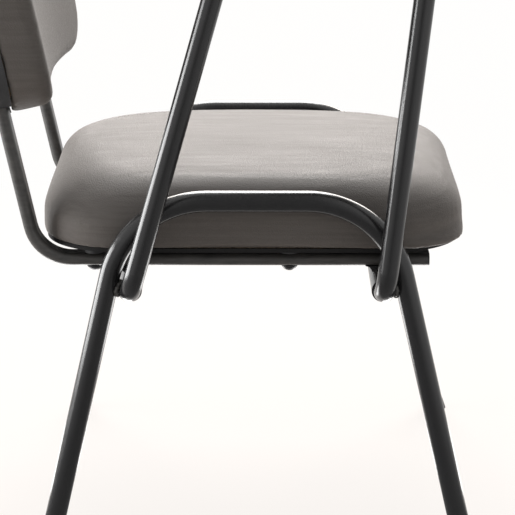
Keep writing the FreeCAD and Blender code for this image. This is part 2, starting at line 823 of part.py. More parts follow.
def shell_screw_places(depth):
    return [
        facing_forward(reach, depth, side * dim("shell_screw_offset"))
        for side in SIDES.values() for reach in (dim("shell_screw_low"), dim("shell_screw_high"))
    ]


def placed_cylinders(radius, height, places):
    """One cylinder at each place, along its Z axis."""
    made = []
    for place in places:
        made.append(cylinder(radius, height, V()))
        made[-1].Placement = place
    return made


def back_board():
    nut_holes = placed_cylinders("Sheet.insert_nut_dia / 2 + Sheet.thread_gap", "Sheet.back_pad_thickness",
                                 back_bolt_places(0))
    face = back_board_rear(dim("shell_screw_offset"))
    screw_holes = placed_cylinders("Sheet.shell_screw_dia / 2 + Sheet.thread_gap",
                                   "Sheet.shell_screw_bite + 2", shell_screw_places(face + 1))
    return keep(cut(board_form(), *nut_holes, *screw_holes), "back_board")


def flattened_depths(edge):
    """Depths of an edge's ends behind the uprights, with the back's bend taken out."""
    radius = dim("back_board_radius")
    points = [BACK_FRAME.inverse().multVec(edge.valueAt(p)) for p in edge.ParameterRange]
    return [point.y + radius - math.sqrt(radius ** 2 - point.x ** 2) for point in points]


def back_cushion():
    rear, radius = back_board_rear(), dim("back_board_radius")
    slab = back_slab(rear, radius, rear - dim("back_pad_thickness"), dim("back_front_radius"))
    form = common(slab, back_outline())
    middle = rear - dim("back_pad_thickness") / 2
    soft = filleted(form, "back_edge_radius", lambda edge: max(flattened_depths(edge)) < middle)
    return keep(cut(soft, board_form(dim("board_gap"))), "back_cushion")


def shell_rear(x=0.0):
    """Depth of the shell's outer face behind the uprights' axis."""
    beyond = dim("shell_gap") + dim("shell_depth")
    return back_board_rear() + beyond - bend_sag(dim("back_board_radius") + beyond, x)


def shell_tray():
    """The shell's curved wall and rim, open towards the board."""
    rear, radius = back_board_rear(), dim("back_board_radius")
    gap, wall = dim("shell_gap"), dim("shell_wall")
    back = gap + dim("shell_depth")
    outer = common(back_slab(rear + back, radius + back, rear + gap, radius + gap), back_outline())
    middle = rear + back / 2
    shaped = filleted(outer, "shell_radius", lambda edge: min(flattened_depths(edge)) > middle)
    inner = back - wall
    cavity = back_slab(rear + inner, radius + inner, rear - wall, radius - wall)
    return cut(shaped, common(cavity, back_outline(wall)))


def back_shell():
    """Rear cover: screw bosses stand on the board, and the lower wall is slotted for the uprights."""
    face = shell_rear(dim("shell_screw_offset"))
    inside = face - dim("shell_wall") / 2
    bosses = placed_cylinders("Sheet.shell_boss_dia / 2", "Sheet.shell_depth", shell_screw_places(inside))
    tools = placed_cylinders("Sheet.shell_screw_dia / 2 + Sheet.bolt_gap", "Sheet.shell_depth * 2",
                             shell_screw_places(face + 1))
    tools += placed_cylinders("Sheet.shell_screw_head_dia / 2 + Sheet.bolt_gap",
                              "Sheet.shell_screw_recess + 1", shell_screw_places(face + 1))
    margin, height = dim("shell_slot_margin"), dim("rail_height")
    slot_width, slot_depth = dim("rail_width") + 2 * margin, 2 * height
    for side in SIDES.values():
        x = side * dim("rail_offset") - slot_width / 2
        corner = V(x, height / 2 + margin - slot_depth, -margin)
        tools.append(block((slot_width, slot_depth, dim("shell_slot_height")), corner, BACK_FRAME))
    return keep(cut(fused(shell_tray(), *bosses), board_form(), *tools), "back_shell")


def pan_screw(name, shank, length, head, height, edge):
    """A screw along Z: its head is below the XY plane and its shank above."""
    edges = rounded([
        (V(0, -height, 0), 0), (V(head, -height, 0), edge), (V(head, 0, 0), 0),
        (V(shank, 0, 0), 0), (V(shank, length, 0), 0), (V(0, length, 0), 0),
    ])
    return revolved_body(name, edges)


def back_shell_screws():
    seat = shell_rear(dim("shell_screw_offset")) - dim("shell_screw_recess")
    length = seat - back_board_rear(dim("shell_screw_offset")) + dim("shell_screw_bite")
    height = dim("shell_screw_head_height")
    screw = pan_screw("shell_screw", dim("shell_screw_dia") / 2, length, dim("shell_screw_head_dia") / 2,
                      height, height / 2)
    return group("back_shell_screws", screw, shell_screw_places(seat))


def back_bolts():
    bolt = pan_screw("back_bolt", dim("back_bolt_dia") / 2, dim("back_bolt_length"),
                     dim("back_bolt_head_dia") / 2, dim("back_bolt_head_height"),
                     dim("back_bolt_head_round"))
    return group("back_bolts", bolt, back_bolt_places(dim("rail_height") / 2))


def back_inserts():
    ring = ring_body("back_insert", "Sheet.insert_nut_dia / 2", "Sheet.back_bolt_dia / 2 + Sheet.thread_gap",
                     "Sheet.back_insert_height")
    slope = math.asin(dim("rail_offset") / dim("back_board_radius")) * dim("insert_nut_dia") / 2
    return group("back_insert_nuts", ring, back_bolt_places(back_board_rear(dim("rail_offset")) - slope))


# Arm loop

def arm_screw_place(end):
    """Where an arm screw's head meets the cross tube's underside."""
    below = V(dim("arm_screw_position"), end * CROSS_Y, CROSS_Z - CROSS_RADIUS)
    return Placement(below, Rotation())


def arm_loop():
    x = -dim("arm_offset")
    bar = dim("arm_bar_height")
    inner = dim("arm_insert_end")
    elbow = dim("arm_elbow_radius")
    corners = [
        (V(inner, CROSS_Y, CROSS_Z), 0),
        (V(x, CROSS_Y, CROSS_Z), elbow),
        (V(x, dim("arm_rear_top"), bar), dim("arm_rear_bend_radius")),
        (V(x, dim("arm_front_top"), bar), dim("arm_front_bend_radius")),
        (V(x, -CROSS_Y, CROSS_Z), elbow),
        (V(inner, -CROSS_Y, CROSS_Z), 0),
    ]
    path = doc.addObject("Part::Feature", "arm_path")
    path.Shape = Part.Wire([edge.toShape() for edge in rounded(corners, closed=False)])
    names = [f"Edge{i + 1}" for i in range(len(path.Shape.Edges))]
    tubes = []
    for radius in ("Sheet.arm_tube_dia / 2", "Sheet.arm_tube_dia / 2 - Sheet.arm_tube_wall"):
        ring = doc.addObject("Part::Circle", "arm_section")
        ring.Placement = Placement(corners[0][0], Rotation(Z_AXIS, X_AXIS * -1))
        bind(ring, Radius=radius)
        tube = doc.addObject("Part::Sweep", "arm_sweep")
        tube.Sections = [ring]
        tube.Spine = (path, names)
        tube.Solid = True
        tubes.append(tube)
    holes = [
        cylinder("Sheet.arm_screw_dia / 2 + Sheet.thread_gap", "Sheet.cross_tube_dia / 2",
                 arm_screw_place(end).Base)
        for end in ENDS.values()
    ]
    return keep(cut(tubes[0], tubes[1], *holes), "arm_loop")


def arm_screws():
    screw = pan_screw("arm_screw", dim("arm_screw_dia") / 2, dim("arm_screw_length"),
                      dim("arm_screw_head_dia") / 2, dim("arm_screw_head_height"),
                      dim("arm_screw_head_round"))
    return group("arm_screws", screw, [arm_screw_place(end) for end in ENDS.values()])


# Tablet hinge: a split block that turns on the arm bar between two fixed stop collars

def bar_sketch(body, start, edges=()):
    """A drawing square to the arm bar, at Y = start."""
    return sketch(body, "XZ_Plane", -start, edges)


def stop_collar(label, end):
    """Ring on the bar whose tongue carries the wing in use and stops the fin when the tablet is up."""
    body = new_body(label)
    half = dim("hinge_length") / 2 + dim("collar_side_gap")
    start = BAR.y - half if end < 0 else BAR.y + half + dim("collar_width")
    ring = bar_sketch(body, start)
    circle(ring, BAR.x, BAR.z, "Sheet.collar_dia / 2")
    pad(body, ring, "Sheet.collar_width")
    top = BAR.z + WING_BOTTOM - dim("stop_gap")
    low = top - dim("tongue_thickness")
    tip = BAR.x + dim("tongue_reach")
    root, edge = BAR.x + dim("tongue_root"), dim("tongue_round")
    tongue = rounded([
        (V(root, low, 0), 0), (V(tip, low, 0), edge), (V(tip, top, 0), edge), (V(root, top, 0), 0),
    ])
    pad(body, bar_sketch(body, start, tongue), "Sheet.collar_width")
    bore = bar_sketch(body, start)
    circle(bore, BAR.x, BAR.z, "Sheet.arm_tube_dia / 2 + Sheet.running_gap")
    pocket(body, bore)
    screw = sketch(body, "XY_Plane", BAR.z)
    circle(screw, BAR.x, start - dim("collar_width") / 2, "Sheet.hinge_screw_dia / 2 + Sheet.thread_gap")
    pocket(body, screw, "Sheet.collar_dia")
    return keep(body, label)


def collar_screws():
    half = dim("hinge_length") / 2 + dim("collar_side_gap") + dim("collar_width") / 2
    length = (dim("collar_dia") - dim("arm_tube_dia")) / 2 - dim("running_gap")
    radius = dim("hinge_screw_dia") / 2
    socket, deep = dim("grub_socket_dia") / 2, dim("grub_socket_depth")
    edges = polygon([(0, deep), (socket, deep), (socket, 0), (radius, 0), (radius, length), (0, length)])
    base = BAR.z - dim("collar_dia") / 2
    places = [Placement(V(BAR.x, BAR.y + end * half, base), Rotation()) for end in ENDS.values()]
    return group("collar_grub_screws", revolved_body("grub_screw", edges), places)


def hinge_bore(body, start):
    bore = bar_sketch(body, start)
    circle(bore, BAR.x, BAR.z, "Sheet.arm_tube_dia / 2 + Sheet.running_gap + Sheet.liner_wall")
    pocket(body, bore)


def cap_screw_points():
    return [
        V(BAR.x + sx * dim("hinge_screw_offset"), BAR.y + sy * dim("hinge_screw_pitch") / 2, 0)
        for sx in (-1, 1) for sy in (-1, 1)
    ]


def cap_screw_holes(body):
    holes = sketch(body, "XY_Plane", BAR.z)
    for point in cap_screw_points():
        circle(holes, point.x, point.y, "Sheet.hinge_screw_dia / 2 + Sheet.thread_gap")
    return holes


def hinge_block():
    """Upper half of the bearing, with the wing that carries the tablet's pivot."""
    body = new_body("hinge_block")
    half_width, top, split = dim("hinge_half_width"), dim("hinge_top"), dim("hinge_split")
    start = BAR.y + dim("hinge_length") / 2
    left, right = BAR.x - half_width, BAR.x + half_width
    low, high = BAR.z + split, BAR.z + top
    profile = rounded([
        (V(left, low, 0), 0), (V(right, low, 0), 0), (V(right, high, 0), 0),
        (V(BAR.x - dim("hinge_shoulder"), high, 0), dim("hinge_ear")),
        (V(left, BAR.z + dim("hinge_ear"), 0), dim("tongue_round")),
    ])
    pad(body, bar_sketch(body, start, profile), "Sheet.hinge_length")
    x0, x1 = BAR.x + dim("wing_start"), BAR.x + dim("wing_reach")
    y0, y1 = BAR.y - dim("wing_length") / 2, BAR.y + dim("wing_length") / 2
    corner = dim("wing_corner_radius")
    wing = rounded([(V(x0, y0, 0), 0), (V(x1, y0, 0), corner), (V(x1, y1, 0), corner), (V(x0, y1, 0), 0)])
    pad(body, sketch(body, "XY_Plane", BAR.z + WING_BOTTOM, wing), "Sheet.wing_thickness")
    hinge_bore(body, start)
    pocket(body, cap_screw_holes(body), "Sheet.hinge_screw_length - Sheet.hinge_ear + 1", reverse=True)
    pins = sketch(body, "XY_Plane", BAR.z)
    circle(pins, PIVOT_X, BAR.y, "Sheet.pivot_dia / 2 + Sheet.running_gap")
    circle(pins, PIVOT_X, BAR.y - dim("stop_pin_radius"), "Sheet.stop_pin_dia / 2 + Sheet.pin_gap")
    pocket(body, pins)
    return keep(body, "hinge_block")


def hinge_cap():
    """Lower half of the bearing. Its fin meets the tongues when the tablet stands upright."""
    body = new_body("hinge_cap")
    half, ear, split = dim("hinge_half_width"), dim("hinge_ear"), dim("hinge_split")
    start = BAR.y + dim("hinge_length") / 2
    barrel, edge, belly = dim("collar_dia") / 2, dim("tongue_round"), dim("hinge_shoulder")
    side = barrel - dim("liner_wall") - edge
    profile = rounded([
        (V(BAR.x - half, BAR.z - split, 0), 0), (V(BAR.x - half, BAR.z - ear, 0), edge),
        (V(BAR.x - side, BAR.z - ear, 0), 0), (V(BAR.x - belly, BAR.z - barrel, 0), belly),
        (V(BAR.x + belly, BAR.z - barrel, 0), belly), (V(BAR.x + side, BAR.z - ear, 0), 0),
        (V(BAR.x + half, BAR.z - ear, 0), edge), (V(BAR.x + half, BAR.z - split, 0), 0),
    ])
    pad(body, bar_sketch(body, start, profile), "Sheet.hinge_length")
    face = BAR.x + WING_BOTTOM - dim("tongue_thickness") - 2 * dim("stop_gap")
    rear = face - dim("fin_thickness")
    tip, root = BAR.z - dim("fin_reach"), BAR.z - barrel
    neck = rectangle(rear, tip, face, root + edge)
    pad(body, bar_sketch(body, start, neck), "Sheet.hinge_length")
    below = root - dim("liner_wall")
    fin = rounded([
        (V(rear, tip, 0), edge), (V(face, tip, 0), edge), (V(face, below, 0), 0), (V(rear, below, 0), 0),
    ])
    fin_start = BAR.y + dim("wing_length") / 2 - dim("fin_inset")
    pad(body, bar_sketch(body, fin_start, fin), "Sheet.wing_length - 2 * Sheet.fin_inset")
    hinge_bore(body, start)
    pocket(body, cap_screw_holes(body))
    return keep(body, "hinge_cap")


def cap_screws():
    """Cylinder-head screws that pull the two halves of the block together."""
    shank, length = dim("hinge_screw_dia") / 2, dim("hinge_screw_length")
    head, height = dim("hinge_screw_head_dia") / 2, dim("hinge_screw_head_height")
    socket, floor = dim("hinge_screw_socket_dia") / 2, dim("hinge_screw_socket_depth") - height
    edges = rounded([
        (V(0, floor, 0), 0), (V(socket, floor, 0), 0), (V(socket, -height, 0), 0), (V(head, -height, 0), 1),
        (V(head, 0, 0), 0), (V(shank, 0, 0), 0), (V(shank, length, 0), 0), (V(0, length, 0), 0),
    ])
    rise = V(0, 0, BAR.z - dim("hinge_ear"))
    places = [Placement(point + rise, Rotation()) for point in cap_screw_points()]
    return group("hinge_cap_screws", revolved_body("cap_screw", edges), places)


def hinge_liners():
    """Plastic half sleeves between the bar and the split block."""
    start = V(BAR.x, BAR.y - dim("hinge_length") / 2, BAR.z)
    bore = "Sheet.arm_tube_dia / 2 + Sheet.running_gap"
    outer = cylinder(bore + " + Sheet.liner_wall - Sheet.pin_gap", "Sheet.hinge_length", start, Y_AXIS)
    sleeve = cut(outer, cylinder(bore, "Sheet.hinge_length", start, Y_AXIS))
    width, split = dim("collar_dia"), dim("hinge_split")
    slit = block((2 * width, 2 * dim("hinge_length"), 2 * split),
                 V(BAR.x - width, BAR.y - dim("hinge_length"), BAR.z - split))
    return keep(cut(sleeve, slit), "hinge_liners")


def friction_washer():
    ring = ring_body("friction_ring", "Sheet.friction_washer_dia / 2",
                     "Sheet.pivot_dia / 2 + Sheet.bolt_gap", "Sheet.friction_washer_height")
    place = Placement(V(PIVOT_X, BAR.y, BAR.z + dim("hinge_top")), Rotation())
    return group("friction_washer", ring, [place])


def swivel_stop_pin():
    base = V(PIVOT_X, BAR.y - dim("stop_pin_radius"), BAR.z + dim("hinge_top") - dim("stop_pin_depth"))
    radius, edge = dim("stop_pin_dia") / 2, 2 * dim("stop_gap")
    height = TABLET_BOTTOM - edge - base.z
    edges = rounded([(V(), 0), (V(radius, 0, 0), edge), (V(radius, height, 0), edge), (V(0, height, 0), 0)])
    return keep(revolved_body("swivel_stop_pin", edges, Placement(base, Rotation())), "swivel_stop_pin")


# Tablet

def plate_screw_points():
    inset = dim("plate_screw_inset")
    x0 = BAR.x + dim("plate_start") + inset
    x1 = x0 + dim("plate_width") - 2 * inset
    half = dim("plate_length") / 2 - inset
    return [(x, BAR.y + sy * half) for x in (x0, x1) for sy in (-1, 1)]


def tablet_plate():
    """Steel plate under the board, with the curved slot that limits the swivel."""
    body = new_body("tablet_plate")
    x0 = BAR.x + dim("plate_start")
    half = dim("plate_length") / 2
    corner = dim("plate_corner_radius")
    outline = rectangle(x0, BAR.y - half, x0 + dim("plate_width"), BAR.y + half, corner)
    pad(body, sketch(body, "XY_Plane", PLATE_BOTTOM, outline), "Sheet.plate_thickness")
    holes = sketch(body, "XY_Plane", PLATE_BOTTOM)
    circle(holes, PIVOT_X, BAR.y, "Sheet.pivot_dia / 2 + Sheet.pin_gap")
    heads = sketch(body, "XY_Plane", PLATE_BOTTOM)
    for x, y in plate_screw_points():
        circle(holes, x, y, "Sheet.plate_screw_dia / 2 + Sheet.bolt_gap")
        circle(heads, x, y, "Sheet.plate_screw_head_dia / 2 + Sheet.press_gap")
    pocket(body, holes)
    pocket(body, heads, "Sheet.plate_screw_head_height", reverse=True)
    pocket(body, sketch(body, "XY_Plane", PLATE_BOTTOM, swivel_slot()))
    return keep(body, "tablet_plate")


def swivel_slot():
    middle, radius = V(PIVOT_X, BAR.y, 0), dim("stop_pin_radius")
    half = dim("stop_pin_dia") / 2 + dim("bolt_gap")
    first, last = math.radians(-90), math.radians(-90 + dim("swivel_range"))

    def at(angle, reach):
        return middle + V(math.cos(angle), math.sin(angle), 0) * reach

    def past(angle, sign):
        return at(angle, radius) + V(-math.sin(angle), math.cos(angle), 0) * (sign * half)

    turn = (first + last) / 2
    return [
        Part.Arc(at(first, radius + half), at(turn, radius + half), at(last, radius + half)),
        Part.Arc(at(last, radius + half), past(last, 1), at(last, radius - half)),
        Part.Arc(at(last, radius - half), at(turn, radius - half), at(first, radius - half)),
        Part.Arc(at(first, radius - half), past(first, -1), at(first, radius + half)),
    ]


def swivel_stud():
    shank, head, height = dim("pivot_dia") / 2, dim("pivot_head_dia") / 2, dim("pivot_head_height")
    tail = BAR.z - TABLET_BOTTOM - dim("pivot_tail")
    edges = rounded([
        (V(0, height, 0), 0), (V(head, height, 0), 1), (V(head, 0, 0), 0),
        (V(shank, 0, 0), 0), (V(shank, tail, 0), 1), (V(0, tail, 0), 0),
    ])
    place = Placement(V(PIVOT_X, BAR.y, TABLET_BOTTOM), Rotation())
    return keep(revolved_body("swivel_stud", edges, place), "swivel_stud")


def swivel_washer():
    ring = ring_body("swivel_ring", "Sheet.swivel_washer_dia / 2", "Sheet.pivot_dia / 2 + Sheet.press_gap",
                     "Sheet.swivel_washer_height")
    return group("swivel_washer", ring, [Placement(V(PIVOT_X, BAR.y, NUT_TOP), Rotation())])


def swivel_nut():
    body = new_body("swivel_nut")
    reach = dim("swivel_nut_flats") / math.sqrt(3)
    angles = [math.radians(turn) for turn in range(0, 360, 60)]
    points = [(PIVOT_X + reach * math.cos(a), BAR.y + reach * math.sin(a)) for a in angles]
    pad(body, sketch(body, "XY_Plane", NUT_TOP, polygon(points)), "Sheet.swivel_nut_height", reverse=True)
    hole = sketch(body, "XY_Plane", NUT_TOP)
    circle(hole, PIVOT_X, BAR.y, "Sheet.pivot_dia / 2 + Sheet.pin_gap")
    pocket(body, hole)
    return keep(body, "swivel_nut")


def tablet_outline():
    """Paddle: narrow beside the elbow, wide in front of the sitter."""
    corners = [
        ("tablet_outer_rear", "tablet_rear", "tablet_rear_radius"),
        ("tablet_outer_front", "tablet_front", "tablet_outer_radius"),
        ("tablet_inner_front", "tablet_front", "tablet_front_radius"),
        ("tablet_shoulder_x", "tablet_shoulder_y", "tablet_shoulder_radius"),
        ("tablet_waist_x", "tablet_waist_y", "tablet_waist_radius"),
        ("tablet_inner_rear", "tablet_rear", "tablet_rear_radius"),
    ]
    return rounded([(V(BAR.x + dim(x), dim(y), 0), dim(radius)) for x, y, radius in corners])


def tablet_board():
    body = new_body("tablet_board")
    pad(body, sketch(body, "XY_Plane", TABLET_BOTTOM, tablet_outline()), "Sheet.tablet_thickness")
    recess = sketch(body, "XY_Plane", TABLET_BOTTOM)
    circle(recess, PIVOT_X, BAR.y, "Sheet.pivot_head_dia / 2 + Sheet.bolt_gap")
    pocket(body, recess, "Sheet.pivot_head_height + Sheet.bolt_gap", reverse=True)
    holes = sketch(body, "XY_Plane", TABLET_BOTTOM)
    for x, y in plate_screw_points():
        circle(holes, x, y, "Sheet.plate_screw_dia / 2 + Sheet.thread_gap")
    pocket(body, holes, "Sheet.plate_screw_length", reverse=True)
    return keep(body, "tablet_board")


def tablet_edge_band():
    """Bumper moulding round the board's edge."""
    drawing = doc.addObject("Sketcher::SketchObject", "band_outline")
    for edge in tablet_outline():
        drawing.addGeometry(edge, False)
    level = Placement(V(0, 0, TABLET_BOTTOM), Rotation())
    drawing.Placement = level
    wide = doc.addObject("Part::Offset2D", "band_offset")
    wide.Source = drawing
    bind(wide, Value="Sheet.tablet_band")
    wide.Fill = False
    outer = doc.addObject("Part::Extrusion", "band_solid")
    outer.Base = wide
    outer.Dir = Z_AXIS
    outer.DirMode = "Custom"
    outer.Solid = True
    bind(outer, LengthFwd="Sheet.tablet_thickness")
    soft = filleted(outer, "tablet_band_round", lambda edge: edge.BoundBox.ZLength < TOUCH)
    inner = extruded(tablet_outline(), level, "Sheet.tablet_thickness")
    return keep(cut(soft, inner), "tablet_edge_band")


def plate_screws():
    head, height = dim("plate_screw_head_dia") / 2, dim("plate_screw_head_height")
    shank, length = dim("plate_screw_dia") / 2, dim("plate_screw_length")
    tip = length + dim("plate_screw_point")
    edges = polygon([(0, 0), (head, 0), (head, height), (shank, height), (shank, length), (0, tip)])
    places = [Placement(V(x, y, PLATE_BOTTOM), Rotation()) for x, y in plate_screw_points()]
    return group("tablet_plate_screws", revolved_body("plate_screw", edges), places)


def build_frame():
    for name, side in SIDES.items():
        leg_arch(f"leg_arch_{name}", side)
        seat_rail(f"seat_rail_{name}", side)
        rail_plug(f"rail_plug_{name}", side)
        for place, end in ENDS.items():
            foot_glide(f"foot_glide_{place}_{name}", side, end)
    for place, end in ENDS.items():
        cross_tube(f"cross_tube_{place}", end)
        cross_tube_plug(f"cross_tube_plug_{place}", end)
    leg_welds()
    rail_saddles()


def build_seat_and_back():
    for make in (seat_spacers, seat_board, seat_cushion, seat_bolts, seat_inserts):
        make()
    for make in (back_board, back_cushion, back_shell, back_shell_screws, back_bolts, back_inserts):
        make()


def build_arm_and_tablet():
    arm_loop()
    arm_screws()
    for place, end in ENDS.items():
        stop_collar(f"stop_collar_{place}", end)
    for make in (collar_screws, hinge_block, hinge_cap, cap_screws, hinge_liners):
        make()
    for make in (friction_washer, swivel_stop_pin, tablet_plate, swivel_stud, swivel_washer, swivel_nut):
        make()
    for make in (tablet_board, tablet_edge_band, plate_screws):
        make()


def check_and_export():
    doc.recompute()
    for obj in doc.Objects:
        if "Invalid" in obj.State or "Error" in obj.State:
            raise RuntimeError(f"{obj.Label} failed: {obj.State}")
    for obj in sub_parts:
        if obj.Shape.isNull() or not obj.Shape.isValid():
            raise RuntimeError(f"{obj.Label} has no valid shape")
    os.makedirs("parts", exist_ok=True)
    for obj in sub_parts:
        obj.Shape.exportStep(f"parts/{obj.Label}.step")


build_frame()
build_seat_and_back()
build_arm_and_tablet()
check_and_export()
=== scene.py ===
import json
import math

import bmesh
import bpy
import numpy
from mathutils import Matrix, Vector


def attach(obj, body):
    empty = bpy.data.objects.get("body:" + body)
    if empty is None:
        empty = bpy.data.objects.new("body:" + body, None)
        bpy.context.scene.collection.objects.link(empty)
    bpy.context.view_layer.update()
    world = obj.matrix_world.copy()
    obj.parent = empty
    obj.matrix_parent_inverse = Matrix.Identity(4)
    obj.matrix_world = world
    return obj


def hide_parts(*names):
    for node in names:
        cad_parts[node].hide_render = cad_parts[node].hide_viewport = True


# Tablet arm conference chair, in metres. The floor is Z = 0, the sitter faces -Y and the tablet arm is
# at -X, on the sitter's right.

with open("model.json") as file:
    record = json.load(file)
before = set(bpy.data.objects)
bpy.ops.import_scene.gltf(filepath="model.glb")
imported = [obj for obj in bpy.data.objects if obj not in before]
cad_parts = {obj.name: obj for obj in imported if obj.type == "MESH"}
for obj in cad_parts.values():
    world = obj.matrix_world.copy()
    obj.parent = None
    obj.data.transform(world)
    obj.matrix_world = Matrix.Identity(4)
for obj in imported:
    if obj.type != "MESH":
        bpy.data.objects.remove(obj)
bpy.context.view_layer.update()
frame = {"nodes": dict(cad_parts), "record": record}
scene = bpy.context.scene
nodes = frame["nodes"]
slot_of = {part["node"]: part["material_slot"] for part in frame["record"]["subparts"]}

# Camera, fitted to the edges of both leg arches in the photograph
PHOTO_PIXELS = 515
FOCAL_PIXELS = 2281.1
SENSOR_MM = 36.0
CAMERA_PLACE = Vector((-2.802, -0.0085, 1.0915))
CAMERA_PITCH = math.radians(15.94)
CAMERA_YAW = math.radians(0.17)

# Pads: mesh size, how far a pad is drawn in before it swells, the most it then stands off its solid, and
# how often its swelling is averaged
PAD_VOXEL = 0.006
PAD_SHRINK = 0.004
PAD_SWELL = 0.0012
PAD_EVENING = 60

# Seat plan: its sides are drawn in slightly between round corners
SEAT_MIDDLE = Vector((0.0, 0.0047))
SEAT_HALF = Vector((0.231, 0.253))
SEAT_CORNER = 0.098
SEAT_DRAWN = 0.003
SEAT_BOTTOM = 0.363

# Seat top: its solid, and the longer rounding and flatter crown of the stuffed pad. The domes are radii
# across and along. Slope and shoulder are each a run and a fall.
SEAT_SOLID = {"crown": 0.454, "domes": (1.615, 1.615), "slope": (0.060, 0), "shoulder": (0.036, 0.036)}
SEAT_SOFT = {"crown": 0.4508, "domes": (3.6, 9.0), "slope": (0.060, 0.0210), "shoulder": (0.040, 0.0250)}
SEAT_OVAL = 3.7

# Seat cover: squarer front corners below, a lifted hem, the heights over which it comes free of the
# board, and its share of filling
SEAT_FRONT_CORNER = 0.075
SEAT_FRONT_FADE = (0.2, 0.9)
SEAT_HEM_LIFT = 0.0035
SEAT_HEM_RUN = 0.016
SEAT_FREE = (0.014, 0.045)

# Frame joints
RAIL_BOTTOM = 0.337
CROSS_HEIGHT = 0.322
CROSS_Y = 0.1483
CROSS_RADIUS = 0.014
LEG_RADIUS = 0.0125
LEG_SPLAY = math.radians(13.1)
ARCH_X = 0.25
ARM_SCREW_X = -0.222
BOLT_SPOTS = [(sx * 0.185, y) for sx in (-1, 1) for y in (-0.039, 0.193)]

# Back, drawn in a frame that leans by the recline from its base. Its cover is free in front of the board.
BACK_RECLINE = math.radians(12.0)
BACK_BASE = Vector((0.0, 0.29673, 0.515))
BACK_BOARD_RADIUS = 0.9
BACK_BOARD_REAR = 0.0083
BACK_FREE = (0.016, 0.034)
SHELL_SCREW_SPOTS = [(sx * 0.12, z) for sx in (-1, 1) for z in (0.060, 0.260)]
SHELL_SCREW_SEAT = 0.0231

# Domed socket screws: head radius, its rise and rim, shank radius and length, half width of the socket
SEAT_BOLT = dict(head=0.010, rise=0.0083, rim=0.0016, shank=0.004, length=0.036, socket=0.0029)
ARM_SCREW = dict(head=0.005, rise=0.0032, rim=0.0006, shank=0.003, length=0.008, socket=0.002)
SHELL_SCREW = dict(head=0.004, rise=0.002, rim=0.0006, shank=0.002, length=0.029, socket=0.0016)

# Their proportions: seat and rounding of the rim, mouth of the socket to its width, its depth to the rise
RIM_SEAT = 0.97
RIM_ROUND = 0.2
SOCKET_MOUTH = 1.25
SOCKET_DEPTH = 0.45

# Turn of a seat bolt's socket, in radians per metre of its X and Y
BOLT_TURN = (40, 9)

# Colours, as linear red, green and blue
PAINT_BLACK = (0.011, 0.011, 0.012, 1)
LEATHERETTE = (0.094, 0.086, 0.081, 1)
LEATHERETTE_PALE = (0.106, 0.098, 0.092, 1)
SHEEN_WARM = (1.0, 0.96, 0.92, 1)
# Dust colour, also used to paint in light: a highlight on upward frame faces and a pale film on the shaded
# rails
DUST_AND_PAINTED_LIGHT = (0.090, 0.086, 0.080, 1)
CLOTH_BLACK = (0.008, 0.008, 0.008, 1)
PLASTIC_BLACK = (0.018, 0.018, 0.019, 1)
STEEL_BLACK = (0.030, 0.030, 0.032, 1)
ZINC = (0.62, 0.61, 0.58, 1)
NYLON = (0.70, 0.67, 0.59, 1)
LAMINATE = (0.045, 0.045, 0.047, 1)
PLY_PALE = (0.56, 0.41, 0.26, 1)
PLY_DARK = (0.36, 0.23, 0.13, 1)
PURE_WHITE = (1, 1, 1, 1)
STUDIO_WHITE = (1.0, 0.995, 0.985, 1)
FLOOR_PALE = (0.65, 0.60, 0.56, 1)
FLOOR_CREAM = (0.985, 0.955, 0.93, 1)
GLOW_WARM = (1.0, 0.94, 0.89)

# Stage: softboxes, the cards on the floor under the chair, and the dark flag's path in X and Z, from
# under the chair to behind and above the camera
CHAIR_CORE = (-0.1, 0, 0.45)
BACK_BANK = dict(place=(1.6, 0.0, 2.5), target=CHAIR_CORE, width=1.4, height=1.2, watts=79)
BACK_GLOW = dict(place=(2.9, -0.3, 1.9), target=CHAIR_CORE, width=3.4, height=1.4, watts=141)
LEFT_STRIP = dict(place=(0.03, 2.2, 0.47), target=(-0.2, 0, 0.45), width=1.7, height=0.9, watts=58)
FLOOR_CARD = dict(width=0.28, height=0.34, watts=1.6)
FLOOR_CARD_PLACE = Vector((0.08, 0.30, 0.006))
FLAG_PATH = ((-0.14, 0.004), (-3.2, 0.004), (-3.2, 2.4), (-0.9, 3.4))
FLAG_HALF = 1.8


# Shader nodes

class NodeTree:
    """Short calls that make and link the nodes of a material or of the world."""

    def __init__(self, owner):
        owner.use_nodes = True
        self.tree = owner.node_tree

    def node(self, kind):
        return self.tree.nodes.new("ShaderNode" + kind)

    def link(self, output, target):
        self.tree.links.new(output, target)

    def object_place(self):
        return self.node("TexCoord").outputs["Object"]

    def ramp(self, value, low, high, to_low=0.0, to_high=1.0):
        node = self.node("MapRange")
        node.inputs["From Min"].default_value = low
        node.inputs["From Max"].default_value = high
        node.inputs["To Min"].default_value = to_low
        node.inputs["To Max"].default_value = to_high
        self.link(value, node.inputs["Value"])
        return node.outputs["Result"]

    def calculated(self, operation, *values):
        node = self.node("Math")
        node.operation = operation
        for value, socket in zip(values, node.inputs):
            self.link(value, socket)
        return node.outputs["Value"]

    def parts(self, vector):
        node = self.node("SeparateXYZ")
        self.link(vector, node.inputs["Vector"])
        return node.outputs

    def mix(self, factor, first, second):
        node = self.node("Mix")
        node.data_type = "RGBA"
        node.inputs["A"].default_value = first
        node.inputs["B"].default_value = second
        self.link(factor, node.inputs["Factor"])
        return node.outputs["Result"]


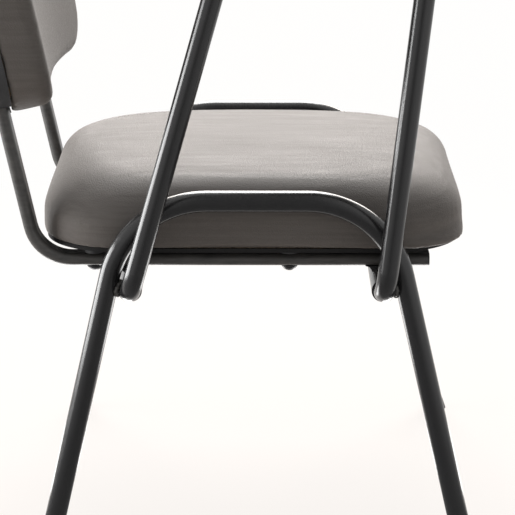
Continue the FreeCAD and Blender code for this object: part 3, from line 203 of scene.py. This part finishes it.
class Finish(NodeTree):
    """A material with a Principled shader, and short calls for what feeds it."""

    def __init__(self, name, colour, roughness, **sockets):
        self.material = bpy.data.materials.new(name)
        super().__init__(self.material)
        self.shader = self.tree.nodes["Principled BSDF"]
        self.shader.inputs["Base Color"].default_value = colour
        self.shader.inputs["Roughness"].default_value = roughness
        for socket, value in sockets.items():
            self.shader.inputs[socket.replace("_", " ")].default_value = value
        self.place = self.object_place()

    def stretched(self, scale):
        mapping = self.node("Mapping")
        mapping.inputs["Scale"].default_value = scale
        self.link(self.place, mapping.inputs["Vector"])
        return mapping.outputs["Vector"]

    def noise(self, scale, detail, place=None):
        texture = self.node("TexNoise")
        texture.inputs["Scale"].default_value = scale
        texture.inputs["Detail"].default_value = detail
        self.link(place or self.place, texture.inputs["Vector"])
        return texture.outputs["Fac"]

    def cells(self, scale):
        texture = self.node("TexVoronoi")
        texture.inputs["Scale"].default_value = scale
        self.link(self.place, texture.inputs["Vector"])
        return texture.outputs["Distance"]

    def facing_up(self, low, high, most):
        """0 where the surface's upward lean is below low, rising to most at high."""
        normal = self.node("NewGeometry").outputs["Normal"]
        return self.ramp(self.parts(normal)["Z"], low, high, 0.0, most)

    def two_tone(self, pattern, low, high, first, second):
        """The first colour where a pattern is low, the second where it is high."""
        self.colour(self.mix(self.ramp(pattern, low, high), first, second))

    def colour(self, output):
        self.link(output, self.shader.inputs["Base Color"])

    def gloss(self, pattern, smoothest, roughest, low=0.3, high=0.7):
        """Roughness that follows a pattern."""
        self.link(self.ramp(pattern, low, high, smoothest, roughest), self.shader.inputs["Roughness"])

    def bump(self, height, depth, strength):
        """Adds a relief to those that the finish already has."""
        node = self.node("Bump")
        node.inputs["Strength"].default_value = strength
        node.inputs["Distance"].default_value = depth
        self.link(height, node.inputs["Height"])
        normal = self.shader.inputs["Normal"]
        if normal.is_linked:
            self.link(normal.links[0].from_socket, node.inputs["Normal"])
        self.link(node.outputs["Normal"], normal)


# Finishes

def frame_paint():
    """Semi-gloss black powder coat: faint orange peel, dust and a painted highlight on what faces up,
    uneven gloss.
    """
    finish = Finish("frame_paint", PAINT_BLACK, 0.2)
    specks = finish.ramp(finish.noise(520, 3), 0.4, 0.7, to_low=0.2)
    # Paler upward faces: partly dust and partly a painted highlight along the tubes' tops
    dust_and_painted_highlight = finish.calculated("MULTIPLY", finish.facing_up(low=0.3, high=1.0, most=0.4), specks)
    finish.colour(finish.mix(dust_and_painted_highlight, PAINT_BLACK, DUST_AND_PAINTED_LIGHT))
    finish.gloss(finish.noise(60, 3), smoothest=0.18, roughest=0.24)
    finish.bump(finish.noise(300, 2), depth=0.0001, strength=0.1)
    return finish.material


def dusty_paint_with_painted_light():
    """The same paint gone matt with a pale film, as on the rails under the seat and over the welds. The
    film is partly dust and partly painted light, which lightens the rails in the seat's shade.
    """
    finish = Finish("dusty_paint_with_painted_light", PAINT_BLACK, 0.4)
    streaks = finish.noise(1.0, 4, finish.stretched((180, 40, 180)))
    # Pale film: partly dust and partly painted light on rails that lie in shade
    dust_film_and_painted_light = finish.ramp(streaks, 0.3, 0.7, to_low=0.25, to_high=0.6)
    finish.colour(finish.mix(dust_film_and_painted_light, PAINT_BLACK, DUST_AND_PAINTED_LIGHT))
    finish.gloss(finish.noise(90, 3), smoothest=0.34, roughest=0.46)
    finish.bump(finish.noise(400, 2), depth=0.0001, strength=0.2)
    return finish.material


def upholstery():
    """Grained leatherette: fine pebble, faint slubs across the seat, a soft sheen at low angles."""
    finish = Finish("upholstery", LEATHERETTE, 0.5, Specular_IOR_Level=0.07, Sheen_Weight=0.12,
                    Sheen_Roughness=0.4, Sheen_Tint=SHEEN_WARM)
    slubs = finish.noise(1.0, 3, finish.stretched((110, 8, 300)))
    finish.two_tone(slubs, 0.35, 0.65, LEATHERETTE, LEATHERETTE_PALE)
    finish.gloss(slubs, smoothest=0.42, roughest=0.58)
    finish.bump(finish.cells(620), depth=0.0003, strength=0.75)
    finish.bump(slubs, depth=0.0003, strength=0.25)
    return finish.material


def dust_cloth():
    """Black non-woven cloth, matt and fibrous."""
    finish = Finish("dust_cloth", CLOTH_BLACK, 0.9, Specular_IOR_Level=0.2)
    fibres = finish.noise(900, 5)
    finish.two_tone(fibres, 0.35, 0.7, CLOTH_BLACK, PLASTIC_BLACK)
    finish.bump(fibres, depth=0.0003, strength=0.6)
    return finish.material


def black_plastic():
    """Moulded plastic with a fine spark-eroded grain."""
    finish = Finish("black_plastic", PLASTIC_BLACK, 0.5)
    finish.two_tone(finish.noise(700, 3), 0.3, 0.8, PLASTIC_BLACK, STEEL_BLACK)
    finish.gloss(finish.noise(300, 2), smoothest=0.46, roughest=0.54)
    finish.bump(finish.noise(1600, 2), depth=0.00012, strength=0.5)
    return finish.material


def black_steel():
    """Blackened steel of the screws and bolts."""
    finish = Finish("black_steel", STEEL_BLACK, 0.35, Metallic=0.6)
    finish.two_tone(finish.noise(350, 3), 0.5, 0.75, STEEL_BLACK, PAINT_BLACK)
    finish.gloss(finish.noise(500, 3), smoothest=0.28, roughest=0.45)
    finish.bump(finish.noise(900, 2), depth=0.00006, strength=0.4)
    return finish.material


def cast_black():
    """Painted zinc casting, slightly pebbled."""
    finish = Finish("cast_black", PAINT_BLACK, 0.38)
    finish.two_tone(finish.noise(240, 3), 0.4, 0.75, PAINT_BLACK, STEEL_BLACK)
    finish.gloss(finish.noise(180, 3), smoothest=0.3, roughest=0.46)
    finish.bump(finish.noise(700, 2), depth=0.0002, strength=0.45)
    return finish.material


def zinc_steel():
    """Bright zinc plate."""
    finish = Finish("zinc_steel", ZINC, 0.32, Metallic=1.0)
    finish.gloss(finish.noise(400, 3), smoothest=0.25, roughest=0.42)
    finish.bump(finish.noise(1100, 2), depth=0.00005, strength=0.4)
    return finish.material


def nylon():
    """Undyed nylon, slightly translucent."""
    finish = Finish("nylon", NYLON, 0.42, Subsurface_Weight=0.1)
    finish.gloss(finish.noise(300, 2), smoothest=0.35, roughest=0.5)
    finish.bump(finish.noise(900, 2), depth=0.00006, strength=0.4)
    return finish.material


def plywood():
    """Birch veneers: stripes through the thickness, long grain on the faces."""
    finish = Finish("plywood", PLY_PALE, 0.6)
    grain = finish.noise(14, 5, finish.stretched((1.0, 14.0, 30.0)))
    finish.two_tone(grain, 0.35, 0.7, PLY_PALE, PLY_DARK)
    finish.bump(grain, depth=0.0003, strength=0.3)
    return finish.material


def tablet_laminate():
    """Dark grey laminate with a fine speckle and a low gloss."""
    finish = Finish("tablet_laminate", LAMINATE, 0.38)
    finish.two_tone(finish.noise(1500, 2), 0.45, 0.7, LAMINATE, STEEL_BLACK)
    finish.gloss(finish.noise(160, 4), smoothest=0.36, roughest=0.42)
    finish.bump(finish.noise(1300, 2), depth=0.00008, strength=0.5)
    return finish.material


FINISHES = {
    make.__name__: make()
    for make in (frame_paint, dusty_paint_with_painted_light, upholstery, dust_cloth, black_plastic, black_steel, cast_black,
                 zinc_steel, nylon, plywood, tablet_laminate)
}
# Rails given the paler paint, which partly paints in light they lack under the seat
RAILS_WITH_PAINTED_LIGHT = ("seat_rail_left", "seat_rail_right")


def dress_nodes():
    """Gives each CAD piece the finish of its slot, and the rails their worn paint, whose pale film partly
    paints in light.
    """
    for name, node in nodes.items():
        finish = "dusty_paint_with_painted_light" if name in RAILS_WITH_PAINTED_LIGHT else slot_of[name]
        node.data.materials.clear()
        node.data.materials.append(FINISHES[finish])


# Objects

def placed(name, data):
    """An object in the scene."""
    obj = bpy.data.objects.new(name, data)
    scene.collection.objects.link(obj)
    return obj


def from_bmesh(name, bm):
    """An object of a finished bmesh."""
    mesh = bpy.data.meshes.new(name)
    bm.to_mesh(mesh)
    bm.free()
    return placed(name, mesh)


def dress(obj, finish, *replaced, crease=math.radians(40)):
    """Shading and finish of a finished piece, which rides on the chair's frame."""
    mesh = obj.data
    mesh.shade_smooth()
    mesh.set_sharp_from_angle(angle=crease)
    mesh.materials.clear()
    mesh.materials.append(FINISHES[finish])
    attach(obj, "frame")
    if replaced:
        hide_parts(*replaced)


def piece(name, bm, finish, *replaced):
    """A dressed piece of a bmesh whose seams are closed and whose faces point outwards."""
    bmesh.ops.remove_doubles(bm, verts=bm.verts, dist=1e-7)
    bmesh.ops.recalc_face_normals(bm, faces=bm.faces)
    dress(from_bmesh(name, bm), finish, *replaced)


# Pads

def eased(values, low, high):
    """0 below low, 1 above high, smooth between."""
    share = numpy.clip((values - low) / (high - low), 0.0, 1.0)
    return share * share * (3 - 2 * share)


def points_of(mesh, key="co"):
    values = numpy.empty(len(mesh.vertices) * 3)
    mesh.vertices.foreach_get(key, values)
    return values.reshape(-1, 3)


def set_points(mesh, points):
    mesh.vertices.foreach_set("co", points.ravel())
    mesh.update()


def evened(mesh, values):
    """Each vertex's value, averaged with its neighbours' again and again."""
    ends = numpy.empty(len(mesh.edges) * 2, dtype=int)
    mesh.edges.foreach_get("vertices", ends)
    first, second = ends.reshape(-1, 2).T
    size = len(values)
    count = numpy.bincount(ends, minlength=size)
    for _ in range(PAD_EVENING):
        around = numpy.bincount(first, values[second], size) + numpy.bincount(second, values[first], size)
        values = (values + around / count) / 2
    return values


def apply_modifiers(obj):
    graph = bpy.context.evaluated_depsgraph_get()
    mesh = bpy.data.meshes.new_from_object(obj.evaluated_get(graph))
    obj.modifiers.clear()
    old, obj.data = obj.data, mesh
    bpy.data.meshes.remove(old)


def remeshed_copy(name, node):
    """A dense, even copy of a pad's solid."""
    bm = bmesh.new()
    bm.from_mesh(nodes[node].data)
    bmesh.ops.remove_doubles(bm, verts=bm.verts, dist=1e-5)
    obj = from_bmesh(name, bm)
    remesh = obj.modifiers.new("remesh", "REMESH")
    remesh.mode = "VOXEL"
    remesh.voxel_size = PAD_VOXEL
    apply_modifiers(obj)
    return obj


def hold(obj, held, levels=10):
    """A vertex group that holds each point of the cover by its share, in a few levels."""
    group = obj.vertex_groups.new(name="held")
    steps = numpy.rint(held * levels)
    for step in range(levels + 1):
        group.add(numpy.flatnonzero(steps == step).tolist(), step / levels, "REPLACE")
    return group


def swell(obj, held, pressure=4.0, frames=20):
    """How far each point of the pad stands off its solid after it was drawn in and blown up as cloth."""
    mesh = obj.data
    rest, normals = points_of(mesh), points_of(mesh, "normal")
    set_points(mesh, rest - normals * (PAD_SHRINK * (1 - held))[:, None])
    group = hold(obj, held)
    cover = obj.modifiers.new("cloth", "CLOTH")
    cover.settings.use_pressure = True
    cover.settings.uniform_pressure_force = pressure
    cover.settings.vertex_group_mass = group.name
    cover.settings.effector_weights.gravity = 0
    cover.collision_settings.use_collision = False
    cover.point_cache.frame_start = 1
    cover.point_cache.frame_end = frames
    for frame_number in range(1, frames + 1):
        scene.frame_set(frame_number)
    apply_modifiers(obj)
    scene.frame_set(1)
    obj.vertex_groups.clear()
    offset = ((points_of(obj.data) - rest) * normals).sum(axis=1)
    set_points(obj.data, rest)
    limited = PAD_SWELL * numpy.tanh(evened(obj.data, offset) / (2 * PAD_SWELL))
    return evened(obj.data, limited)


def finish_pad(obj, node, held):
    """Swells the pad, rounds it and dresses it in place of its solid."""
    offset = swell(obj, held)
    rest, normals = points_of(obj.data), points_of(obj.data, "normal")
    set_points(obj.data, rest + normals * offset[:, None])
    rounding = obj.modifiers.new("rounding", "SUBSURF")
    rounding.levels = 1
    rounding.render_levels = 1
    dress(obj, "upholstery", node)


def seat_beyond(points):
    """How far each point lies beyond the straight part of the seat's sides, across and along."""
    return numpy.abs(points[:, :2] - numpy.array(SEAT_MIDDLE)) - (numpy.array(SEAT_HALF) - SEAT_CORNER)


def seat_inset(points):
    """How far each point lies inside the seat's plan, whose sides are drawn in between the corners."""
    beyond = seat_beyond(points)
    across, along = (beyond / (numpy.array(SEAT_HALF) - SEAT_CORNER)).T
    from_middle = numpy.where(beyond[:, 0] > beyond[:, 1], along, across) + 1
    drawn = SEAT_DRAWN * numpy.clip(1 - from_middle ** 2, 0, 1)
    outside = numpy.linalg.norm(numpy.maximum(beyond, 0), axis=1)
    inside = numpy.minimum(beyond.max(axis=1), 0)
    return numpy.maximum(SEAT_CORNER - outside - inside - drawn, 0)


def seat_top(points, inset, crown, domes, slope, shoulder):
    """Height of the seat's top over each point: a dome, a slope outside a full oval, which takes the
    corners down most, and a round shoulder."""
    flat = points[:, :2] - numpy.array(SEAT_MIDDLE)
    dome = (flat ** 2 / (2 * numpy.array(domes))).sum(axis=1)
    oval = (numpy.abs(flat / numpy.array(SEAT_HALF)) ** SEAT_OVAL).sum(axis=1) ** (1 / SEAT_OVAL)
    sloped = slope[1] * numpy.maximum(1 - (1 - oval) * SEAT_HALF.x / slope[0], 0) ** 2
    edge = numpy.clip(1 - inset / shoulder[0], 0, 1)
    return crown - dome - sloped - shoulder[1] * (1 - numpy.sqrt(1 - edge ** 2))


def square_front(points, share):
    """Squares the front corners towards the hem, where the cover is pulled round the board."""
    beyond = seat_beyond(points)
    reach = numpy.linalg.norm(beyond, axis=1)
    middle = numpy.array(SEAT_MIDDLE)
    corner = (beyond.min(axis=1) > 0) & (points[:, 1] < middle[1])
    slack = ((SEAT_CORNER - SEAT_FRONT_CORNER) * (1 - eased(share, *SEAT_FRONT_FADE)))[corner]
    cos, sin = beyond[corner].T / reach[corner]
    radius = SEAT_CORNER - slack
    grown = slack * (cos + sin) + numpy.sqrt(radius ** 2 - slack ** 2 * (1 - 2 * cos * sin))
    side = numpy.sign(points[corner, :2] - middle)
    points[corner, :2] += side * beyond[corner] * (grown / SEAT_CORNER - 1)[:, None]


def seat_pad():
    """Foam seat with its cover pulled down over the edge and held at the hem."""
    obj = remeshed_copy("seat_pad", "seat_cushion")
    points = points_of(obj.data)
    inset = seat_inset(points)
    solid = seat_top(points, inset, **SEAT_SOLID)
    share = numpy.clip((points[:, 2] - SEAT_BOTTOM) / (solid - SEAT_BOTTOM), 0, 1)
    points[:, 2] += share * (seat_top(points, inset, **SEAT_SOFT) - solid)
    points[:, 2] += SEAT_HEM_LIFT * (1 - share) * numpy.clip(1 - inset / SEAT_HEM_RUN, 0, 1)
    square_front(points, share)
    set_points(obj.data, points)
    finish_pad(obj, "seat_cushion", 1 - eased(points[:, 2] - SEAT_BOTTOM, *SEAT_FREE))


def back_place():
    """The frame of the reclined back. Its Y is depth behind the uprights and its Z is height."""
    return Matrix.Translation(BACK_BASE) @ Matrix.Rotation(-BACK_RECLINE, 4, "X")


def back_pad():
    """Foam back on its bent board. Only the front is free to swell."""
    obj = remeshed_copy("back_pad", "back_cushion")
    into = numpy.array(back_place().inverted())
    local = points_of(obj.data) @ into[:3, :3].T + into[:3, 3]
    bend = BACK_BOARD_RADIUS - numpy.sqrt(BACK_BOARD_RADIUS ** 2 - local[:, 0] ** 2)
    forward = BACK_BOARD_REAR - local[:, 1] - bend
    finish_pad(obj, "back_cushion", 1 - eased(forward, *BACK_FREE))


# Screws and welds

def fresh(bm, before):
    """The vertices that a mesh has gained."""
    return [vert for vert in bm.verts if vert not in before]


def edges_of(verts):
    """The edges that meet these vertices, once each."""
    return list(dict.fromkeys(edge for vert in verts for edge in vert.link_edges))


def turned(bm, verts, steps):
    """Spins an outline all the way round Z."""
    bmesh.ops.spin(bm, geom=verts + edges_of(verts), axis=(0, 0, 1), angle=2 * math.pi, steps=steps,
                   use_merge=True)


def domed_screw(bm, place, head, rise, rim, shank, length, socket, dome_steps=8, steps=36):
    """A screw turned about Z: a domed head with a six-sided socket below the XY plane, its shank above."""
    before = set(bm.verts)
    corners = ((shank, length), (shank, 0), (head * RIM_SEAT, 0), (head, -rim * RIM_ROUND), (head, -rim))
    outline = [bm.verts.new((radius, 0, height)) for radius, height in corners]
    for one, other in zip(outline, outline[1:]):
        bm.edges.new((one, other))
    sphere = (head ** 2 + (rise - rim) ** 2) / (2 * (rise - rim))
    bend = math.asin(head / sphere) - math.asin(SOCKET_MOUTH * socket / sphere)
    bmesh.ops.spin(bm, geom=outline[-1:], cent=(0, 0, sphere - rise), axis=(0, 1, 0), angle=bend,
                   steps=dome_steps)
    turned(bm, fresh(bm, before), steps)
    open_edges = [edge for edge in bm.edges if edge.is_boundary]
    caps = bmesh.ops.holes_fill(bm, edges=open_edges, sides=0)["faces"]
    mouth = min(caps, key=lambda face: face.calc_center_median().z)
    hexagon = bmesh.ops.extrude_discrete_faces(bm, faces=[mouth])["faces"][0]
    for vert in hexagon.verts:
        from_flat = math.atan2(vert.co.y, vert.co.x) % (math.pi / 3) - math.pi / 6
        vert.co.xy *= socket / math.cos(from_flat) / vert.co.xy.length
    bottom = bmesh.ops.extrude_discrete_faces(bm, faces=[hexagon])["faces"][0]
    bmesh.ops.translate(bm, verts=bottom.verts[:], vec=(0, 0, SOCKET_DEPTH * rise))
    bmesh.ops.transform(bm, matrix=place, verts=fresh(bm, before))


def seat_bolts():
    """Bolts up through the rails and spacers."""
    bm = bmesh.new()
    for x, y in BOLT_SPOTS:
        turn = Matrix.Rotation(x * BOLT_TURN[0] + y * BOLT_TURN[1], 4, "Z")
        domed_screw(bm, Matrix.Translation((x, y, RAIL_BOTTOM)) @ turn, **SEAT_BOLT)
    piece("seat_bolt_set", bm, "black_steel", "seat_bolts")


def arm_screws():
    """Screws that lock the arm's ends in the cross tubes."""
    bm = bmesh.new()
    for end in (-1, 1):
        place = Matrix.Translation((ARM_SCREW_X, end * CROSS_Y, CROSS_HEIGHT - CROSS_RADIUS))
        domed_screw(bm, place, **ARM_SCREW)
    piece("arm_screw_set", bm, "black_steel", "arm_screws")


def shell_screws():
    """Screws sunk in the back cover's bosses."""
    bm = bmesh.new()
    forward = Matrix.Rotation(math.pi / 2, 4, "X")
    for x, z in SHELL_SCREW_SPOTS:
        place = back_place() @ Matrix.Translation((x, SHELL_SCREW_SEAT, z)) @ forward
        domed_screw(bm, place, **SHELL_SCREW)
    piece("shell_screw_set", bm, "black_steel", "back_shell_screws")


def weld_bead(bm, place, wave, reach=0.0078, bead=0.0030, ripple=0.00045, ripples=11, lobes=3):
    """A rippled ring round the spot where a cross tube, below, touches a leg, above and along Y."""
    before = set(bm.verts)
    upright = Matrix.Translation((reach, 0, 0)) @ Matrix.Rotation(math.pi / 2, 4, "X")
    section = bmesh.ops.create_circle(bm, segments=12, radius=bead, matrix=upright)["verts"]
    turned(bm, section, steps=64)
    ring = fresh(bm, before)
    for vert in ring:
        angle = math.atan2(vert.co.y, vert.co.x)
        spot = reach * Vector((math.cos(angle), math.sin(angle), 0))
        tube_gap = CROSS_RADIUS - math.sqrt(CROSS_RADIUS ** 2 - spot.y ** 2)
        leg_gap = LEG_RADIUS - math.sqrt(LEG_RADIUS ** 2 - spot.x ** 2)
        growth = 1 + ripple / bead * (math.sin(angle * ripples + wave) + math.sin(angle * lobes))
        vert.co = spot + (vert.co - spot) * growth + Vector((0, 0, (leg_gap - tube_gap) / 2))
    bmesh.ops.transform(bm, matrix=place, verts=ring)


def weld_beads():
    """A bead at each of the four joints, each with its ripples in another place."""
    bm = bmesh.new()
    touch = Matrix.Translation((0, 0, CROSS_RADIUS))
    for side in (-1, 1):
        for end in (-1, 1):
            lean = Matrix.Rotation(end * (LEG_SPLAY - math.pi / 2), 4, "X")
            middle = Matrix.Translation((side * ARCH_X, end * CROSS_Y, CROSS_HEIGHT))
            weld_bead(bm, middle @ lean @ touch, wave=side + end * 2)
    piece("weld_beads", bm, "dusty_paint_with_painted_light", "leg_welds")


# Seat underside

def seat_outline(inset, count=18):
    """Points round the seat's plan, drawn in by an inset."""
    half, corner = SEAT_HALF - Vector((inset, inset)), SEAT_CORNER - inset
    points = []
    for turn, sx, sy in ((0, 1, 1), (1, -1, 1), (2, -1, -1), (3, 1, -1)):
        middle = SEAT_MIDDLE + Vector((sx * (half.x - corner), sy * (half.y - corner)))
        for i in range(count + 1):
            angle = math.pi / 2 * (turn + i / count)
            points.append(middle + Vector((math.cos(angle), math.sin(angle))) * corner)
    return points


def spaced(points, step):
    """Points at even steps round a closed outline, each with its direction."""
    found, travelled, due = [], 0.0, 0.0
    for here, there in zip(points, points[1:] + points[:1]):
        run = there - here
        while due <= travelled + run.length and run.length > 0:
            found.append((here + run * ((due - travelled) / run.length), run.normalized()))
            due += step
        travelled += run.length
    return found


def cut_cloth(bm, outlines, top, thickness):
    """Flat cloth inside the first outline, with the others cut out."""
    edges = []
    for outline in outlines:
        row = [bm.verts.new((*point, top)) for point in outline]
        edges += [bm.edges.new((row[i - 1], row[i])) for i in range(len(row))]
    filled = bmesh.ops.triangle_fill(bm, use_beauty=True, edges=edges)["geom"]
    faces = [item for item in filled if isinstance(item, bmesh.types.BMFace)]
    grown = bmesh.ops.extrude_face_region(bm, geom=faces)["geom"]
    lower = [item for item in grown if isinstance(item, bmesh.types.BMVert)]
    bmesh.ops.translate(bm, verts=lower, vec=(0, 0, -thickness))


def dust_cover(edge=0.0045, rim=0.0035, thickness=0.0012, clear=0.0148, gap=0.0001, count=36):
    """Thin black cloth under the seat, cut out round the spacers, with a rim tucked up to the hem."""
    bm = bmesh.new()
    top = SEAT_BOTTOM - gap
    circle = [Matrix.Rotation(2 * math.pi * i / count, 2) @ Vector((clear, 0)) for i in range(count)]
    holes = [[Vector(spot) + point for point in circle] for spot in BOLT_SPOTS]
    cut_cloth(bm, [seat_outline(edge + rim + gap)] + holes, top, thickness)
    rim_outlines = [seat_outline(edge), seat_outline(edge + rim)]
    cut_cloth(bm, rim_outlines, top + SEAT_HEM_LIFT, thickness + SEAT_HEM_LIFT)
    piece("dust_cover", bm, "dust_cloth")


def staples(inset=0.012, step=0.034, size=(0.0105, 0.0012, 0.0006), drop=0.0015, edge=0.0002, lean=0.25,
            wander=2.4):
    """Staples through the dust cover and the hem, each leaning a little its own way."""
    bm = bmesh.new()
    for i, (point, ahead) in enumerate(spaced(seat_outline(inset), step)):
        turn = Matrix.Rotation(math.atan2(ahead.y, ahead.x) + lean * math.sin(i * wander), 4, "Z")
        place = Matrix.Translation((*point, SEAT_BOTTOM - drop)) @ turn @ Matrix.Diagonal((*size, 1))
        bmesh.ops.create_cube(bm, size=1.0, matrix=place)
    bmesh.ops.bevel(bm, geom=bm.edges[:], offset=edge, segments=2, profile=0.5, affect="EDGES",
                    material=-1)
    piece("staples", bm, "zinc_steel")


# Stage

class StageTree(NodeTree):
    """The nodes of a stage surface or of the world, made from nothing."""

    def __init__(self, owner, output):
        super().__init__(owner)
        self.tree.nodes.clear()
        self.surface = self.node(output).inputs["Surface"]

    def coloured(self, kind, colour):
        node = self.node(kind)
        node.inputs["Color"].default_value = colour
        return node

    def seen_directly(self):
        """1 for camera, glossy and transmission rays, which see the studio's white."""
        rays = self.node("LightPath").outputs
        bounced = self.calculated("MAXIMUM", rays["Is Glossy Ray"], rays["Is Transmission Ray"])
        return self.calculated("MAXIMUM", rays["Is Camera Ray"], bounced)

    def blend(self, share, first, second):
        """Shows the first shader, and the second by its share."""
        node = self.node("MixShader")
        for output, socket in zip((share, first.outputs[0], second.outputs[0]), node.inputs):
            self.link(output, socket)
        self.link(node.outputs["Shader"], self.surface)


def stage_object(name, bm, material):
    obj = from_bmesh(name, bm)
    obj.data.materials.append(material)
    return obj


def floor_surface(near=0.4, far=1.6, near_share=0.85):
    """Pale floor that keeps a light shadow, cream near the chair and plain white away from it."""
    material = bpy.data.materials.new("floor")
    tree = StageTree(material, "OutputMaterial")
    length = tree.node("VectorMath")
    length.operation = "LENGTH"
    tree.link(tree.object_place(), length.inputs[0])
    distance = length.outputs["Value"]
    pale = tree.coloured("BsdfDiffuse", FLOOR_PALE)
    white = tree.node("Emission")
    tint = tree.mix(tree.ramp(distance, near, far), FLOOR_CREAM, STUDIO_WHITE)
    tree.link(tint, white.inputs["Color"])
    away = tree.ramp(distance, near, far, to_low=near_share)
    share = tree.calculated("MULTIPLY", tree.seen_directly(), away)
    tree.blend(share, pale, white)
    return material


def floor(size=14.0):
    """One wide square under the chair."""
    bm = bmesh.new()
    bmesh.ops.create_grid(bm, x_segments=1, y_segments=1, size=size / 2)
    stage_object("floor", bm, floor_surface())


def flag_surface(core=0.1, dark=0.33):
    """Grey glow, darkest in the middle and white at the sides."""
    material = bpy.data.materials.new("flag")
    tree = StageTree(material, "OutputMaterial")
    side = tree.calculated("ABSOLUTE", tree.parts(tree.object_place())["Y"])
    glow = tree.node("Emission")
    tree.link(tree.ramp(side, core, FLAG_HALF, to_low=dark), glow.inputs["Strength"])
    tree.link(glow.outputs["Emission"], tree.surface)
    return material


def dark_flag():
    """Grey cloth under, behind and over the camera's side. Only reflections see it."""
    bm = bmesh.new()
    row = [bm.verts.new((x, -FLAG_HALF, z)) for x, z in FLAG_PATH]
    edges = [bm.edges.new(pair) for pair in zip(row, row[1:])]
    drawn = bmesh.ops.extrude_edge_only(bm, edges=edges)["geom"]
    far_row = [item for item in drawn if isinstance(item, bmesh.types.BMVert)]
    bmesh.ops.translate(bm, verts=far_row, vec=(0, 2 * FLAG_HALF, 0))
    obj = stage_object("flag", bm, flag_surface())
    obj.visible_camera = False
    obj.visible_diffuse = False
    obj.visible_shadow = False
    obj.visible_transmission = False


def studio_world(ambient=0.67):
    """Even soft light, which the camera and reflections see as plain white."""
    world = bpy.data.worlds.new("studio")
    scene.world = world
    tree = StageTree(world, "OutputWorld")
    dim = tree.coloured("Background", STUDIO_WHITE)
    dim.inputs["Strength"].default_value = ambient
    tree.blend(tree.seen_directly(), dim, tree.coloured("Background", PURE_WHITE))


def softbox(name, place, target, width, height, watts):
    """An area light that faces its target and that the camera doesn't see."""
    light = bpy.data.lights.new(name, "AREA")
    light.shape = "RECTANGLE"
    light.size = width
    light.size_y = height
    light.energy = watts
    obj = placed(name, light)
    obj.location = place
    obj.rotation_euler = (Vector(target) - Vector(place)).to_track_quat("-Z", "Y").to_euler()
    obj.visible_camera = False
    return obj


def lights():
    """A bank above and behind, a warm glow farther back, a strip at the picture's left, two floor cards."""
    softbox("back_bank", **BACK_BANK)
    softbox("back_glow", **BACK_GLOW).data.color = GLOW_WARM
    softbox("left_strip", **LEFT_STRIP)
    for side in (-1, 1):
        place = FLOOR_CARD_PLACE * Vector((1, side, 1))
        card = softbox("floor_card", place, place + Vector((0, 0, 1)), **FLOOR_CARD)
        card.visible_diffuse = False


def camera():
    """The photograph's camera, level from side to side."""
    forward = Vector((math.cos(CAMERA_PITCH) * math.cos(CAMERA_YAW),
                      math.cos(CAMERA_PITCH) * math.sin(CAMERA_YAW), -math.sin(CAMERA_PITCH)))
    right = Vector((math.sin(CAMERA_YAW), -math.cos(CAMERA_YAW), 0))
    up = right.cross(forward)
    data = bpy.data.cameras.new("camera")
    data.sensor_width = SENSOR_MM
    data.lens = FOCAL_PIXELS * SENSOR_MM / PHOTO_PIXELS
    obj = placed("camera", data)
    turn = Matrix((right, up, -forward)).transposed()
    obj.matrix_world = Matrix.Translation(CAMERA_PLACE) @ turn.to_4x4()
    scene.camera = obj


dress_nodes()
for make in (seat_pad, back_pad, dust_cover, staples, weld_beads, seat_bolts, arm_screws, shell_screws):
    make()
for make in (floor, dark_flag, studio_world, lights, camera):
    make()
scene.view_settings.view_transform = "Standard"
